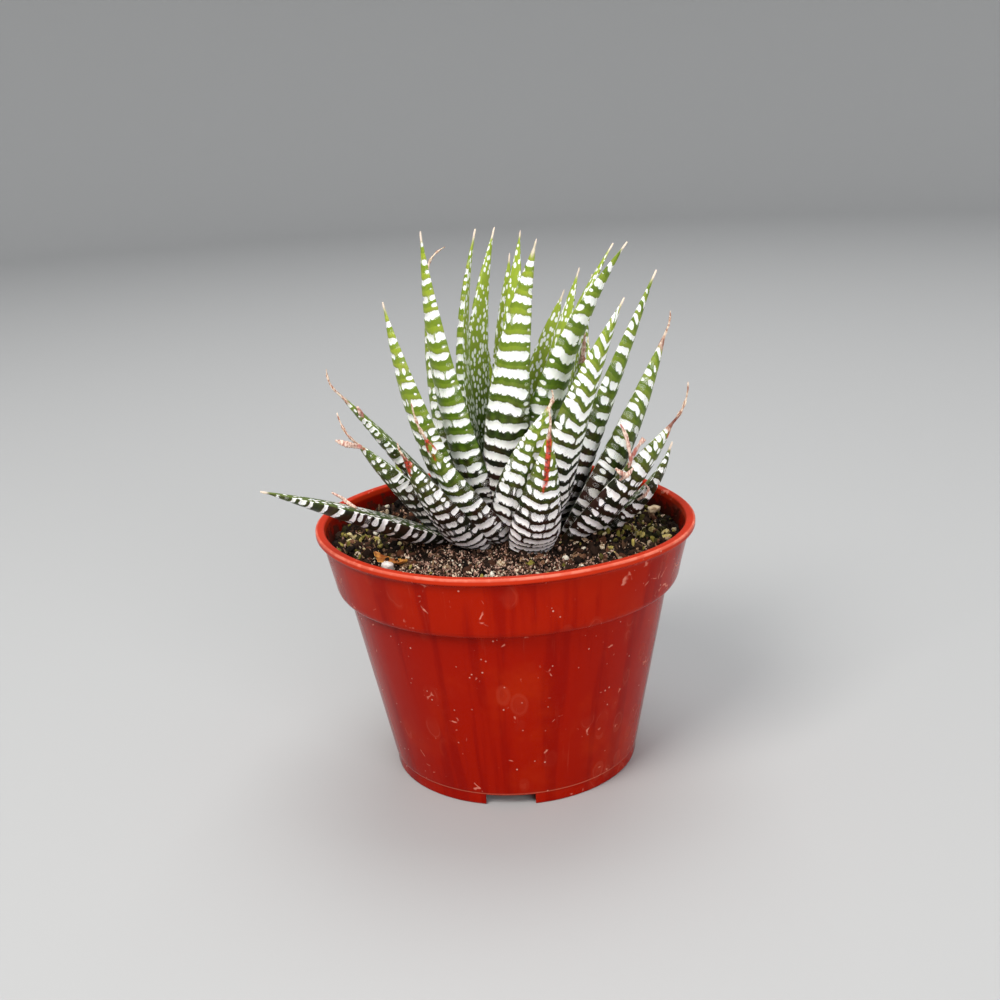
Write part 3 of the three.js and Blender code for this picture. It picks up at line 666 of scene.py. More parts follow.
def soil_height(x, y):
    """Height of the potting mix at points about the pot's axis: a mound with lumps."""
    from_plant = np.hypot(x - ROSETTE[0], y - ROSETTE[1])
    mound = MOUND_HEIGHT * (1.0 - smoothstep(from_plant, *MOUND_REACH))
    lumps = np.sin(0.42 * x + 0.9) * np.cos(0.37 * y - 0.4)
    lumps += 0.6 * np.sin(0.81 * x - 0.55 * y) + 0.4 * np.cos(1.3 * y + 0.7 * x + 1.1)
    fine = 0.30 * np.sin(2.1 * x + 1.3 * y) * np.cos(1.7 * y - 0.9 * x)
    fine += 0.22 * np.sin(3.9 * x + 0.4) * np.sin(4.3 * y + 1.1)
    return SOIL_LEVEL + mound + 0.5 * lumps + 0.7 * fine


def peat(settings):
    s = Surface("Damp peat")
    clods = s.noise(s.place, 330.0, 5.0, 0.7)
    grain = s.noise(s.place, 1700.0, 4.0, 0.75)
    # near-black peat: partly the damp peat's own colour, partly painted shade in the gaps between
    # the grains
    colour = s.mix(s.step(clods, 0.4, 0.7), tuple(settings.peat), (0.026, 0.015, 0.010))
    colour = s.mix(s.step(grain, 0.60, 0.68) * 0.6, colour, (0.14, 0.085, 0.055))
    s.bump(clods, 1.2, 0.9)
    s.bump(grain, 0.4, 0.9)
    return s.finish(Base_Color=colour, Roughness=0.82 + grain * 0.15, Specular_IOR_Level=0.1)


def make_potting_mix(settings):
    turns = round_turn(BED_SIDES)
    rings = [circle(radius, turns, height) for radius, height in BED_OUTLINE]
    for radius in np.linspace(SOIL_BRIM, 0.5, BED_ROUNDS):
        ring = circle(radius, turns, 0.0)
        ring[:, 2] = soil_height(ring[:, 0], ring[:, 1])
        rings.append(ring)
    ends = [(0.0, 0.0, BED_OUTLINE[0][1]), (0.0, 0.0, soil_height(0.0, 0.0))]
    points = warp_mouth(np.vstack([*rings, ends]))
    mix = piece("peat_bed", points, tube_faces(len(rings), len(turns)), peat(settings))
    dress(mix, "potting_mix", "potting_mix")


def grain_material(name, stops, roughness, depth):
    """A crumb's own material: each crumb's chance picks its colour among the stops."""
    s = Surface(name)
    shade = s.attribute("shade")
    grain = s.noise(s.place, 2400.0, 3.0, 0.65)
    colour = s.node("ShaderNodeValToRGB", {"stops": stops}, {0: shade + (grain - 0.5) * 0.35})
    s.bump(grain, depth, 0.8)
    return s.finish(Base_Color=colour, Roughness=roughness, Specular_IOR_Level=0.15)


def scatter_growth():
    """Grains scattered over the surface that it is given, each turned and sized by chance."""
    g = Growth("Loose grains", {
        "Density": "NodeSocketFloat", "Least": "NodeSocketFloat", "Most": "NodeSocketFloat",
        "Length": "NodeSocketFloat", "Flatness": "NodeSocketFloat", "Rough": "NodeSocketFloat",
        "Detail": "NodeSocketInt", "Lift": "NodeSocketFloat", "Seed": "NodeSocketInt",
        "Material": "NodeSocketMaterial"})
    i = g.inputs
    spread = g.node("GeometryNodeDistributePointsOnFaces", {"distribute_method": "RANDOM"}, {
        "Mesh": i["Geometry"], "Density": i["Density"] * g.attribute("thick"), "Seed": i["Seed"]})
    ball = g.node("GeometryNodeMeshIcoSphere", None, {"Radius": 0.5, "Subdivisions": i["Detail"]})
    turn = g.node("FunctionNodeRandomValue", {"data_type": "FLOAT_VECTOR"}, {
        "Min": (0.0, 0.0, 0.0), "Max": (6.283, 6.283, 6.283), "Seed": i["Seed"]})
    small, shade = (g.node("FunctionNodeRandomValue", {"data_type": "FLOAT"}, {
        2: 0.0, 3: 1.0, "Seed": i["Seed"] + further}, 1) for further in (1, 2))
    size = i["Least"] + (i["Most"] - i["Least"]) * small * small
    shape = g.xyz(i["Length"], 1.0, i["Flatness"])
    placed = g.node("GeometryNodeInstanceOnPoints", None, {
        "Points": spread, "Instance": ball, "Rotation": turn,
        "Scale": g.vector("SCALE", shape, size)})
    placed = g.node(
        "GeometryNodeStoreNamedAttribute", {"data_type": "FLOAT", "domain": "INSTANCE"},
        {"Geometry": placed, "Name": "shade", "Value": shade})
    real = g.node("GeometryNodeRealizeInstances", None, {"Geometry": placed})
    place = g.node("GeometryNodeInputPosition", None, None)
    jitter = g.vector("SUBTRACT", g.noise(place, 800.0, output="Color"), (0.5, 0.5, 0.5))
    offset = g.vector("ADD", g.vector("SCALE", jitter, i["Rough"]), g.xyz(0.0, 0.0, i["Lift"]))
    moved = g.node("GeometryNodeSetPosition", None, {"Geometry": real, "Offset": offset})
    g.finish(moved, i["Material"])
    return g


def scatter_bed(name, thickness):
    """A copy of the mix's surface, whose attribute says how thick the grains lie."""
    turns = round_turn(SCATTER_SIDES)
    radii = np.linspace(SOIL_BRIM - 0.9, 0.6, SCATTER_ROUNDS)
    points = np.vstack([circle(radius, turns, 0.0) for radius in radii])
    points[:, 2] = soil_height(points[:, 0], points[:, 1])
    thick = thickness(points[:, 0], points[:, 1])
    points = warp_mouth(points)
    return piece(name, points, grid_faces(len(radii), len(turns)), None, {"thick": thick})


def blots(x, y, *places):
    """The sum of soft round patches, each with its middle, its reach and its strength."""
    return sum(strength * np.exp(-((x - cx) ** 2 + (y - cy) ** 2) / (reach * reach))
               for cx, cy, reach, strength in places)


def patches(x, y, seed):
    """A smooth pattern from 0 to 1 that breaks an even scatter into clusters."""
    wave = np.sin(0.31 * x + seed) * np.cos(0.27 * y - 2.0 * seed)
    wave += np.sin(0.16 * x - 0.23 * y + 3.0 * seed)
    return np.clip(0.5 + 0.4 * wave, 0.0, 1.0)


def heap(x, y):
    """Where the grit is heaped: in front of the plant."""
    return np.minimum(blots(x, y, (-8, -31, 14, 1), (12, -35, 11, 1), (-20, -26, 9, 1)), 1.0)


def sides(x, y):
    """Where the moss grows: beside the plant and behind it."""
    return blots(x, y, (-38, 0, 12, 1), (37, -4, 12, 1), (25, 30, 14, 0.7))


DARK, BROWN, RUST = (0.005, 0.003, 0.002), (0.035, 0.017, 0.010), (0.11, 0.038, 0.018)
TAN, CREAM, PINK = (0.32, 0.20, 0.11), (0.78, 0.66, 0.48), (0.50, 0.29, 0.22)
MOSS_DENSITY, SHRED_DENSITY = 30.0, 7.0  # to a square centimetre

# For each kind of grain: its piece, where it lies, its sizes (the four in mm first), the name, the
# colours, the roughness and the relief of its material.
GRAINS = (
    ("peat_crumbs", lambda x, y: (0.6 + 0.6 * patches(x, y, 1.0)) * (1.0 - 0.7 * heap(x, y)),
     dict(Least=0.7, Most=2.7, Rough=2.0, Lift=0.1, Length=1.35, Flatness=0.75, Detail=2),
     "Peat crumb", ((0.0, DARK), (0.7, BROWN), (0.88, RUST), (0.97, TAN), (1.0, CREAM)), 0.9, 0.3),
    ("peat_grains", lambda x, y: 0.2 + 1.1 * patches(x, y, 3.3) ** 2,
     dict(Least=0.3, Most=1.1, Rough=0.7, Lift=0.3, Length=1.5, Flatness=0.7, Detail=1),
     "Peat grain",
     ((0.0, DARK), (0.6, BROWN), (0.76, RUST), (0.86, TAN), (0.96, PINK), (1.0, CREAM)),
     0.85, 0.1),
    ("fine_grit", lambda x, y: 0.05 + heap(x, y),
     dict(Least=0.24, Most=0.75, Rough=0.4, Lift=0.45, Length=1.9, Flatness=0.65, Detail=1),
     "Cinnamon grit",
     ((0.0, DARK), (0.3, BROWN), (0.52, (0.15, 0.07, 0.045)), (0.8, PINK), (1.0, CREAM)),
     0.85, 0.1),
    ("perlite", lambda x, y: 0.25 + 1.3 * patches(x, y, 2.4),
     dict(Least=0.4, Most=1.7, Rough=1.1, Lift=0.5, Length=1.2, Flatness=0.8, Detail=2),
     "Perlite", ((0.0, TAN), (0.4, (0.52, 0.45, 0.32)), (1.0, (0.80, 0.75, 0.64))), 0.8, 0.15),
    ("moss_crumbs", lambda x, y: 0.03 + sides(x, y),
     dict(Least=0.4, Most=1.9, Rough=1.5, Lift=0.5, Length=1.5, Flatness=0.6, Detail=2),
     "Moss crumb",
     ((0.0, (0.010, 0.010, 0.003)), (0.4, (0.060, 0.050, 0.012)), (0.7, (0.23, 0.195, 0.035)),
      (0.88, (0.46, 0.36, 0.11)), (1.0, (0.74, 0.64, 0.40))), 0.9, 0.3),
    ("bark_shreds", lambda x, y: 0.25 + 0.7 * patches(x, y, 4.1),
     dict(Least=0.3, Most=0.85, Rough=0.9, Lift=0.5, Length=5.0, Flatness=0.5, Detail=1),
     "Bark shred", ((0.0, BROWN), (0.5, (0.14, 0.075, 0.04)), (0.85, TAN), (1.0, CREAM)),
     0.85, 0.2),
)


def make_loose_mix(settings):
    per_area = 1.0e4  # from a square centimetre to a square metre
    growth = scatter_growth()
    densities = (settings.crumbs, settings.grains, settings.grit, settings.perlite, MOSS_DENSITY,
                 SHRED_DENSITY)
    materials = [grain_material(*finish) for _, _, _, *finish in GRAINS]
    for order, (name, thickness, sizes, *_) in enumerate(GRAINS):
        bed = scatter_bed(name, thickness)
        values = {label: size * (MM if label in ("Least", "Most", "Rough", "Lift") else 1)
                  for label, size in sizes.items()}
        grow(bed, growth, Density=densities[order] * per_area, Seed=settings.seed + 10 * order,
             Material=materials[order], **values)
        dress(bed, "potting_mix")


# ---- leaves ---------------------------------------------------------------------------------


class Curve:
    """A quadratic curve that is walked by its length."""

    def __init__(self, start, bend, end):
        self.points = [np.asarray(p, float) for p in (start, bend, end)]
        t = np.linspace(0.0, 1.0, 200)
        run = np.linalg.norm(np.diff(self._at(t), axis=0), axis=1)
        self.t = t
        self.run = np.concatenate([[0.0], np.cumsum(run)])
        self.length = self.run[-1]

    def _at(self, t):
        a, b, c = self.points
        t = np.atleast_1d(t)[:, None]
        return (1 - t) ** 2 * a + 2 * t * (1 - t) * b + t * t * c

    def walk(self, u):
        """Points and tangents at shares of the length."""
        a, b, c = self.points
        t = np.interp(np.atleast_1d(u) * self.length, self.run, self.t)
        slope = 2 * (1 - t)[:, None] * (b - a) + 2 * t[:, None] * (c - b)
        return self._at(t), slope / np.linalg.norm(slope, axis=1)[:, None]


def spine(leaf):
    """A leaf's foot in the mix, its body and its bristle, and the way that its width runs."""
    facing = level(leaf.get("face", leaf["at"]))
    across = np.array([-facing[1], facing[0], 0.0])
    axis = np.array([*ROSETTE, leaf["up"]])
    base = axis + leaf["out"] * level(leaf["at"])
    tip = np.array(leaf["tip"], float)
    chord = unit(tip - base)
    sideways = unit(across - across @ chord * chord)
    outwards = np.cross(sideways, chord)
    bulge, sway = leaf["bow"]
    body = Curve(base, (base + tip) / 2 + 2 * bulge * outwards + 2 * sway * sideways, tip)
    buried = max(0.0, leaf["out"] - STEM_RADIUS)
    joint = axis + level(leaf["at"]) * (min(leaf["out"], STEM_RADIUS) - 0.5)
    joint[2] -= 1.0 + FOOT_SLOPE * buried
    foot = Curve(joint, base - 0.3 * buried * body.walk(0.0)[1][0], base)
    ahead = body.walk(1.0)[1][0]
    dry = np.array(leaf.get("dry", 0.8 * ahead), float)
    bristle = Curve(tip, tip + 0.5 * np.linalg.norm(dry) * ahead, tip + dry)
    return foot, body, bristle, across


BACK, FRONT = 39, 13  # points over the back, and across the upper face between its edges
STEP = 0.46  # from ring to ring
FOOT_STATIONS = (0.02, 0.3, 0.55, 0.78, 0.93)  # shares of the foot's length
FOOT_HALF = 1.6  # half width where the foot leaves the stem
TIP_HALF, DEAD_TIP_HALF = 0.26, 0.42  # half width at the tip, and at one that has withered
BRISTLE_HALF, DEAD_BRISTLE_HALF = 0.26, 0.48
BRISTLE_DEPTH = 0.28
FIRST_ROW, SEED_STEP = 0.37, 7.31  # what sets a leaf's marks apart from the last one's
USUAL = dict(rows=(3.1, 4.3), white=(0.54, 0.48), gaps=(0.08, 0.5), hang=0.3, split=0, tone=0.0,
             dark=0.4, wither=0.97, full=2.2, thick=0.7)


def leaf_mesh(leaf, number):
    """A leaf without its bands, with what its bands and its skin need in its attributes."""
    foot, body, bristle, across = spine(leaf)
    withers = "dry" in leaf
    leaf = USUAL | leaf
    first, later = leaf["rows"]
    full, thick = leaf["full"], leaf["thick"]
    ends = 6 + 2 * round(bristle.length)
    stations = [(foot, u, -1.0) for u in FOOT_STATIONS]
    stations += [(body, u, u) for u in np.linspace(0.0, 0.995, round(body.length / STEP))]
    stations += [(bristle, u, 1.0 + u) for u in np.linspace(0.06, 0.97, ends)]
    theta = np.linspace(-0.5 * math.pi, 0.5 * math.pi, BACK)
    flat = np.linspace(1.0, -1.0, FRONT + 2)[1:-1]
    upper = np.concatenate([np.zeros(BACK), np.ones(FRONT)])
    dead = float(withers)
    rings, facts = [], []
    row, last_s = FIRST_ROW * number, 0.0
    for curve, share, u in stations:
        centre, tangent = (a[0] for a in curve.walk(share))
        side = unit(across - across @ tangent * tangent)
        back = np.cross(side, tangent)
        inner = min(max(u, 0.0), 1.0)
        shoulder = float(smoothstep(inner, 0.0, 0.22))
        half = 0.5 * leaf["width"] * (0.82 + 0.18 * shoulder) * (1.0 - inner ** full)
        if u < 0:
            half = FOOT_HALF + (half - FOOT_HALF) * share
        half = max(half, DEAD_TIP_HALF if withers else TIP_HALF)
        depth = thick * (0.7 + 0.3 * shoulder) * max(half, 0.4)
        if u > 1.0:
            past = (u - 1.0) * bristle.length
            half = (DEAD_BRISTLE_HALF if withers else BRISTLE_HALF) * (1.0 - 0.72 * (u - 1.0))
            half *= 1.0 + 0.34 * dead * math.sin(1.9 * past + number)
            depth = BRISTLE_DEPTH * (1.0 - 0.6 * (u - 1.0))
            depth *= 1.0 + 0.3 * dead * math.cos(2.7 * past + number)
            twist = 0.28 * dead * past * (-1.0) ** number
            side, back = (math.cos(twist) * side + math.sin(twist) * back,
                          math.cos(twist) * back - math.sin(twist) * side)
        y_back = depth * np.cos(theta) ** 1.12
        y_front = -(0.10 * half + 0.25) * (1.0 - flat ** 2) ** 0.6
        x = np.concatenate([half * np.sin(theta), half * flat])
        y = np.concatenate([y_back, y_front])
        rings.append(centre + x[:, None] * side + y[:, None] * back)
        s = max(u, 0.0) * body.length if u <= 1.0 else body.length
        middle = float(smoothstep(inner, 0.0, 0.5))
        pitch = first + (later - first) * middle
        row += (s - last_s) / pitch
        last_s = s
        girth = half * (0.78 + 0.67 * thick)
        facts.append(dict(
            across=np.concatenate([girth * np.sin(theta), half * flat]), reach=girth, upper=upper,
            row=row, along=s, pitch=pitch, share=u, middle=middle))
    sides = BACK + FRONT
    attributes = {}
    for name in facts[0]:
        values = np.concatenate([np.broadcast_to(fact[name], sides) for fact in facts])
        attributes[name] = np.append(values, (values[0], values[-1]))
    share, middle = attributes["share"], attributes.pop("middle")
    for name in ("white", "gaps"):
        low, high = leaf[name]
        attributes[name] = low + (high - low) * middle
    alike = dict({name: leaf[name] for name in ("hang", "split", "tone")}, dead=dead,
                 seed=SEED_STEP * number)
    for name, value in alike.items():
        attributes[name] = np.full(len(share), float(value))

    dark, wither, red = leaf["dark"], leaf["wither"], leaf.get("red")
    jag = 0.06 * np.sin(attributes["across"] * 1.7 + number) * np.cos(attributes["along"] * 0.9)
    attributes["dark"] = 1.0 - smoothstep(share + jag, 0.45 * dark, 1.3 * dark)
    attributes["pink"] = 1.0 - smoothstep(share + jag, 0.1 * dark, 0.9 * dark)
    attributes["dry"] = smoothstep(share + 0.3 * jag, wither - 0.015, wither + 0.02)
    attributes["red"] = np.zeros(len(share))
    if red:
        start, end, *strip = red
        attributes["red"] = smoothstep(share + jag, start, start + 0.05) * (
            1.0 - smoothstep(share + jag, end, end + 0.05))
        for half in strip:
            attributes["red"] *= 1.0 - smoothstep(
                np.abs(attributes["across"]), half - 0.2, half + 0.3)
    points = np.vstack([*rings, foot.walk(0.0)[0], bristle.walk(1.0)[0]])
    return points, [face[::-1] for face in tube_faces(len(rings), sides)], attributes


BREAK = 0.28  # half the gap between two lobes of a band
KEEL_GAP = 0.2  # the same at the keel, where a band is in two columns
BEAD_REACH = 0.90  # how far out the beads lie, as a share of the way to the leaf's edge
BEAD_SIZES = (-0.55, 1.35)  # the radius of the least bead, and how much chance adds
NEVER, FAR = 9.0, 99.0  # mm that are more than any mark reaches
TIP_FADE, FOOT_FADE = (0.97, 1.0), (0.02, -0.02)  # shares of the length over which marks end


def markings(g, lobe):
    """A leaf's white marks: how far inside one a point is, in mm, and how far above its row."""
    across, reach, pitch, share = (g.attribute(n) for n in ("across", "reach", "pitch", "share"))
    upper, seed, split = (g.attribute(n) for n in ("upper", "seed", "split"))
    away = g.math("ABSOLUTE", across)
    left = g.math("GREATER_THAN", across, 0.0)
    edgeness = away / reach
    ageing = g.step(share, 0.55, 0.98)

    # the row that a point is in, and its height above that row's middle
    wave = g.noise(g.xyz(across * 0.16, g.attribute("row") * 0.45, seed), 1.0, 1.0)
    sag = g.attribute("hang") / pitch * (1.0 - edgeness) * g.step(share, 0.02, 0.2)
    row = g.attribute("row") + sag + left * split * 0.5 + (wave - 0.5) * 0.8
    number = g.math("FLOOR", row)
    above = (row - number - 0.5) * pitch
    luck = g.chance(number + seed + left * split * 31.0)
    half = 0.5 * pitch * g.attribute("white") * (0.86 + 0.28 * luck) * (1.0 - 0.3 * ageing)

    # lobes along the row, with a gap between two of them where chance has it
    drift = g.noise(g.xyz(across * 0.4, number * 3.7, seed), 1.0, 1.0)
    phase = across / lobe + luck * 9.0 + (drift - 0.5) * 1.8
    cell = g.math("FLOOR", phase)
    room = FAR
    for place, distance in ((cell, phase - cell), (cell + 1.0, cell + 1.0 - phase)):
        whole = g.math("GREATER_THAN", g.chance(place * 1.7 + number * 13.1 + seed),
                       g.attribute("gaps") * (0.8 + 0.6 * ageing))
        room = g.least(room, distance * lobe + whole * NEVER)
    room = room - BREAK
    end = reach * (0.93 + 0.10 * g.chance(number + seed + left * 17.0 + 3.3)) - away
    keel = away - KEEL_GAP + (1.0 - split) * NEVER
    room = g.least(room, g.least(end + 0.3, keel))

    # each stretch is a capsule, scalloped below and jagged above
    cusp = g.math("ABSOLUTE", g.math("SINE", phase * math.pi))
    jags = g.noise(g.xyz(across * 1.9, number * 5.1, seed), 1.0, 2.0)
    edge = g.step(above, -0.2, 0.2)
    limit = half * ((1.0 - edge) * (0.66 + 0.46 * cusp) + edge * (0.62 + 0.66 * jags))
    short = g.largest(half - room, 0.0)
    band = limit - g.math("SQRT", short * short + above * above)

    # beads along the edges of the leaf, between the ends of the bands
    half_way = (g.math("FRACT", row + 0.5) - 0.5) * pitch
    rim = away - reach * BEAD_REACH
    pick = g.chance(number + g.math("GREATER_THAN", above, 0.0) + seed + left * 7.0 + 2.2)
    least, more = BEAD_SIZES
    bead = more * pick + least - g.math("SQRT", rim * rim + half_way * half_way)
    band = g.largest(band, g.least(bead, 0.8) - NEVER * g.step(share, 0.95, 1.0))

    # dots on the upper face, thicker at the base, with teeth along its edges
    spots = g.cells(g.xyz(g.attribute("along") * 0.52, across, seed), 1.0, randomness=0.85)
    few = g.noise(g.xyz(g.attribute("along") * 0.25, across * 0.5, seed + 4.0), 1.0, 1.0)
    dots = (0.17 + 0.42 * few - spots) * 1.2
    rim = g.step(edgeness, 0.62, 0.80)
    dots = g.largest(dots, (band + 0.1) * rim - (1.0 - rim))
    field = band * (1.0 - upper) + dots * upper
    return field - g.step(share, *FOOT_FADE) * 3.0 - g.step(share, *TIP_FADE) * 2.0, above


def band_growth():
    """Raises the white marks of a leaf out of its skin."""
    g = Growth("White bands", {
        "Relief": "NodeSocketFloat", "Lobe": "NodeSocketFloat", "Material": "NodeSocketMaterial"})
    i = g.inputs
    field, _ = markings(g, i["Lobe"] / MM)
    swell = g.least(g.largest((field + 0.05) / 0.8, 0.0), 1.0)
    swell = 1.0 - (1.0 - swell) * (1.0 - swell)
    height = i["Relief"] * swell * (1.0 - 0.5 * g.attribute("upper"))
    height = height * g.step(g.attribute("reach"), 0.3, 3.0, 0.3, 1.0)
    normal = g.node("GeometryNodeInputNormal", None, None, "Normal")
    shape = g.node("GeometryNodeSetPosition", None, {
        "Geometry": i["Geometry"], "Offset": g.vector("SCALE", normal, height)})
    g.finish(shape, i["Material"])
    return g


# The deep greens are a painted shadow just below each white band.
SKIN = {
    "shaded": (0.042, 0.105, 0.010), "mottled": (0.16, 0.25, 0.02), "fringe": (0.24, 0.24, 0.075),
    "deep": (0.007, 0.036, 0.002), "deep tip": (0.055, 0.15, 0.010),
    "deep shaded": (0.008, 0.030, 0.004), "inner": (0.035, 0.095, 0.010),
    "inner tip": (0.30, 0.40, 0.032), "inner pale": (0.26, 0.32, 0.09),
    "black": (0.006, 0.005, 0.004), "purple": (0.026, 0.006, 0.006),
    "pink band": (0.80, 0.72, 0.715), "soiled band": (0.50, 0.42, 0.39),
    "old rust": (0.13, 0.004, 0.003), "rust": (0.56, 0.045, 0.02), "streak": (0.34, 0.14, 0.09),
    "straw": (0.80, 0.66, 0.52), "stain": (0.15, 0.02, 0.014), "bristle": (0.80, 0.68, 0.56),
}
LEAF_FLESH = dict(
    Coat_Roughness=0.25, Subsurface_Weight=0.08, Subsurface_Radius=(0.0012, 0.0016, 0.0004),
    Subsurface_Scale=0.6, IOR=1.42, Specular_IOR_Level=0.22)


def leaf_skin(settings):
    s = Surface("Leaf skin")
    field, above = markings(s, settings.lobe / MM)
    share, dark, pink, dry, red, upper, tone, dead = (
        s.attribute(n) for n in ("share", "dark", "pink", "dry", "red", "upper", "tone", "dead"))
    fine = s.noise(s.place, 1500.0, 3.0, 0.6)
    soft = s.noise(s.place, 160.0, 3.0, 0.55)
    grain = s.noise(s.place, 4200.0, 2.0, 0.5)
    outside = s.largest(0.0 - field, 0.0)
    living = 1.0 - dry

    # green, yellower to the tip: darkest below a band, where a shadow of the band is painted, and
    # paler and ragged right above one
    along, across = s.attribute("along"), s.attribute("across")
    seed = s.attribute("seed")
    teeth = s.noise(s.xyz(across * 2.3, along * 0.55, seed), 1.0, 3.0, 0.6)
    green = s.mix(s.step(share, 0.3, 1.0), tuple(settings.green), tuple(settings.tip))
    green = s.mix(tone * 0.72, green, SKIN["shaded"])
    green = s.mix(s.step(teeth, 0.40, 0.72) * 0.4, green, SKIN["mottled"])
    # the colours of the painted shadow below each raised band
    deep = s.mix(s.step(share, 0.3, 1.0), SKIN["deep"], SKIN["deep tip"])
    deep = s.mix(tone * 0.8, deep, SKIN["deep shaded"])
    over = s.step(above, -0.3, 0.3)
    # painted shadow: a darker green below each band, fading over about 2.6 mm
    shade = (1.0 - s.step(outside + (teeth - 0.5) * 2.0, 0.0, 2.6)) * (1.0 - over)
    fringe = (1.0 - s.step(outside + (teeth - 0.5) * 4.4, 0.10, 0.8)) * over
    green = s.mix(shade * (1.0 - upper) * 0.5, green, deep)
    green = s.mix(fringe * (1.0 - upper) * (1.0 - tone * 0.5) * 0.42, green, SKIN["fringe"])
    inner = s.mix(s.step(share, 0.15, 0.7), SKIN["inner"], SKIN["inner tip"])
    green = s.mix(upper * (1.0 - tone) * 0.75, green, inner)
    green = s.mix(upper * s.step(teeth, 0.45, 0.65) * 0.3, green, SKIN["inner pale"])
    black = s.mix(s.step(soft, 0.42, 0.62), SKIN["black"], SKIN["purple"])
    skin = s.mix(dark * (1.0 - upper * 0.45) * 0.97, green, black)

    # the marks, chalky, and greyer and pinker to the base
    white = s.mix(pink * 0.8, tuple(settings.band), SKIN["pink band"])
    white = s.mix(s.step(fine, 0.6, 0.75) * (0.04 + 0.2 * pink), white, SKIN["soiled band"])
    on_band = s.step(field + (grain - 0.5) * 0.10, -0.05, 0.05)
    colour = s.mix(on_band, skin, white)

    # withered ends: rust where it is freshly dead, and straw with dark streaks past that
    rust = s.mix(s.step(fine, 0.4, 0.62), SKIN["old rust"], SKIN["rust"])
    colour = s.mix(red * s.step(fine + soft * 0.3, 0.42, 0.58) * 0.95, colour, rust)
    threads = s.noise(s.xyz(across * 3.0, along * 0.5 + share * 9.0, seed), 1.0, 3.0, 0.6)
    straw = s.mix(s.step(threads, 0.38, 0.62), SKIN["streak"], SKIN["straw"])
    stain = s.step(soft, 0.40, 0.58) * s.step(share, 1.5, 1.0) * red
    straw = s.mix(stain * 0.85, straw, SKIN["stain"])
    straw = s.mix((1.0 - dead) * 0.85, straw, SKIN["bristle"])
    colour = s.mix(dry, colour, straw)

    roughness = 0.34 + fine * 0.14 + on_band * 0.24 + dry * 0.3
    s.bump(grain, 0.03, 0.5)
    s.bump(fine, 0.08, 0.35)
    s.bump(on_band, 0.06, 0.3)
    coat = living * (1.0 - on_band) * 0.12
    return s.finish(Base_Color=colour, Roughness=roughness, Coat_Weight=coat, **LEAF_FLESH)


def make_leaves(settings):
    skin = leaf_skin(settings)
    growth = band_growth()
    for number, leaf in enumerate(LEAVES, 1):
        points, faces, attributes = leaf_mesh(leaf, number)
        obj = piece(f"banded_leaf_{number:02d}", points, faces, skin, attributes)
        grow(obj, growth, Relief=settings.relief, Lobe=settings.lobe, Material=skin)
        dress(obj, "leaf_skin", f"leaf_{number:02d}")


# ---- small pieces ---------------------------------------------------------------------------


def streaked(name, scale, dark, pale, ends, relief, roughness, change=0.0, stretch=None, turn=0.0,
             grain=0.6):
    """Two colours in clouds, or in streaks where the pattern is stretched along an axis."""
    s = Surface(name)
    place = s.place
    if stretch:
        place = s.node("ShaderNodeMapping", None, {
            "Vector": place, "Rotation": (0.0, 0.0, turn), "Scale": stretch})
    streaks = s.noise(place, scale, 4.0, grain)
    colour = s.mix(s.step(streaks, *ends), dark, pale)
    s.bump(streaks, *relief)
    if change:
        roughness = roughness + streaks * change
    return s.finish(Base_Color=colour, Roughness=roughness)


def withered():
    s = Surface("Withered leaf")
    cloud = s.noise(s.place, 260.0, 3.0, 0.6)
    stretched = s.node("ShaderNodeMapping", None, {"Vector": s.place, "Scale": (1.0, 1.0, 0.3)})
    threads = s.noise(stretched, 2600.0, 3.0, 0.65)
    colour = s.mix(s.step(threads, 0.36, 0.62), (0.36, 0.15, 0.11), (0.82, 0.62, 0.50))
    colour = s.mix(s.step(cloud, 0.50, 0.62) * 0.8, colour, (0.42, 0.10, 0.08))
    s.bump(threads, 0.3, 0.8)
    return s.finish(Base_Color=colour, Roughness=0.7)


SHRED_SIDES, SHRED_DEPTH = 10, 0.22

# Withered bits caught among the leaves: points that each runs through, and its half width at them.
SHREDS = (
    (((31.4, -20.6, 85.2), (31.9, -22.3, 88.4), (31.5, -22.6, 91.8), (30.8, -22.4, 95.0),
      (29.6, -22.2, 97.8)), (0.5, 0.42, 0.5, 0.55, 0.2)),
    (((31.4, -20.9, 86.6), (33.2, -22.3, 91.0), (35.3, -22.6, 93.9)), (0.4, 0.5, 0.6)),
    (((28.2, -21.2, 86.2), (30.0, -22.4, 84.9), (31.8, -21.4, 84.6)), (0.35, 0.8, 0.3)),
    (((29.2, -21.0, 83.0), (30.9, -22.4, 84.6), (32.6, -21.6, 86.2)), (0.3, 0.7, 0.3)),
    (((-41.0, -20.2, 96.9), (-38.0, -20.8, 95.9), (-34.6, -20.2, 94.9)), (0.3, 0.95, 0.5)),
    (((22.9, 15.6, 105.0), (23.4, 13.6, 109.3), (24.0, 12.6, 114.6)), (0.9, 0.7, 0.2)),
    (((-37.4, -20.4, 78.8), (-40.8, -17.8, 81.0), (-43.6, -16.5, 82.4)), (0.6, 0.5, 0.25)),
    (((34.9, -9.0, 73.8), (36.6, -10.4, 75.4), (37.6, -10.2, 77.0), (36.6, -10.0, 78.4)),
     (0.35, 0.4, 0.35, 0.2)),
    (((-34.7, -8.6, 98.6), (-35.4, -10.2, 101.5), (-36.0, -10.6, 103.0)), (0.4, 0.6, 0.35)),
)


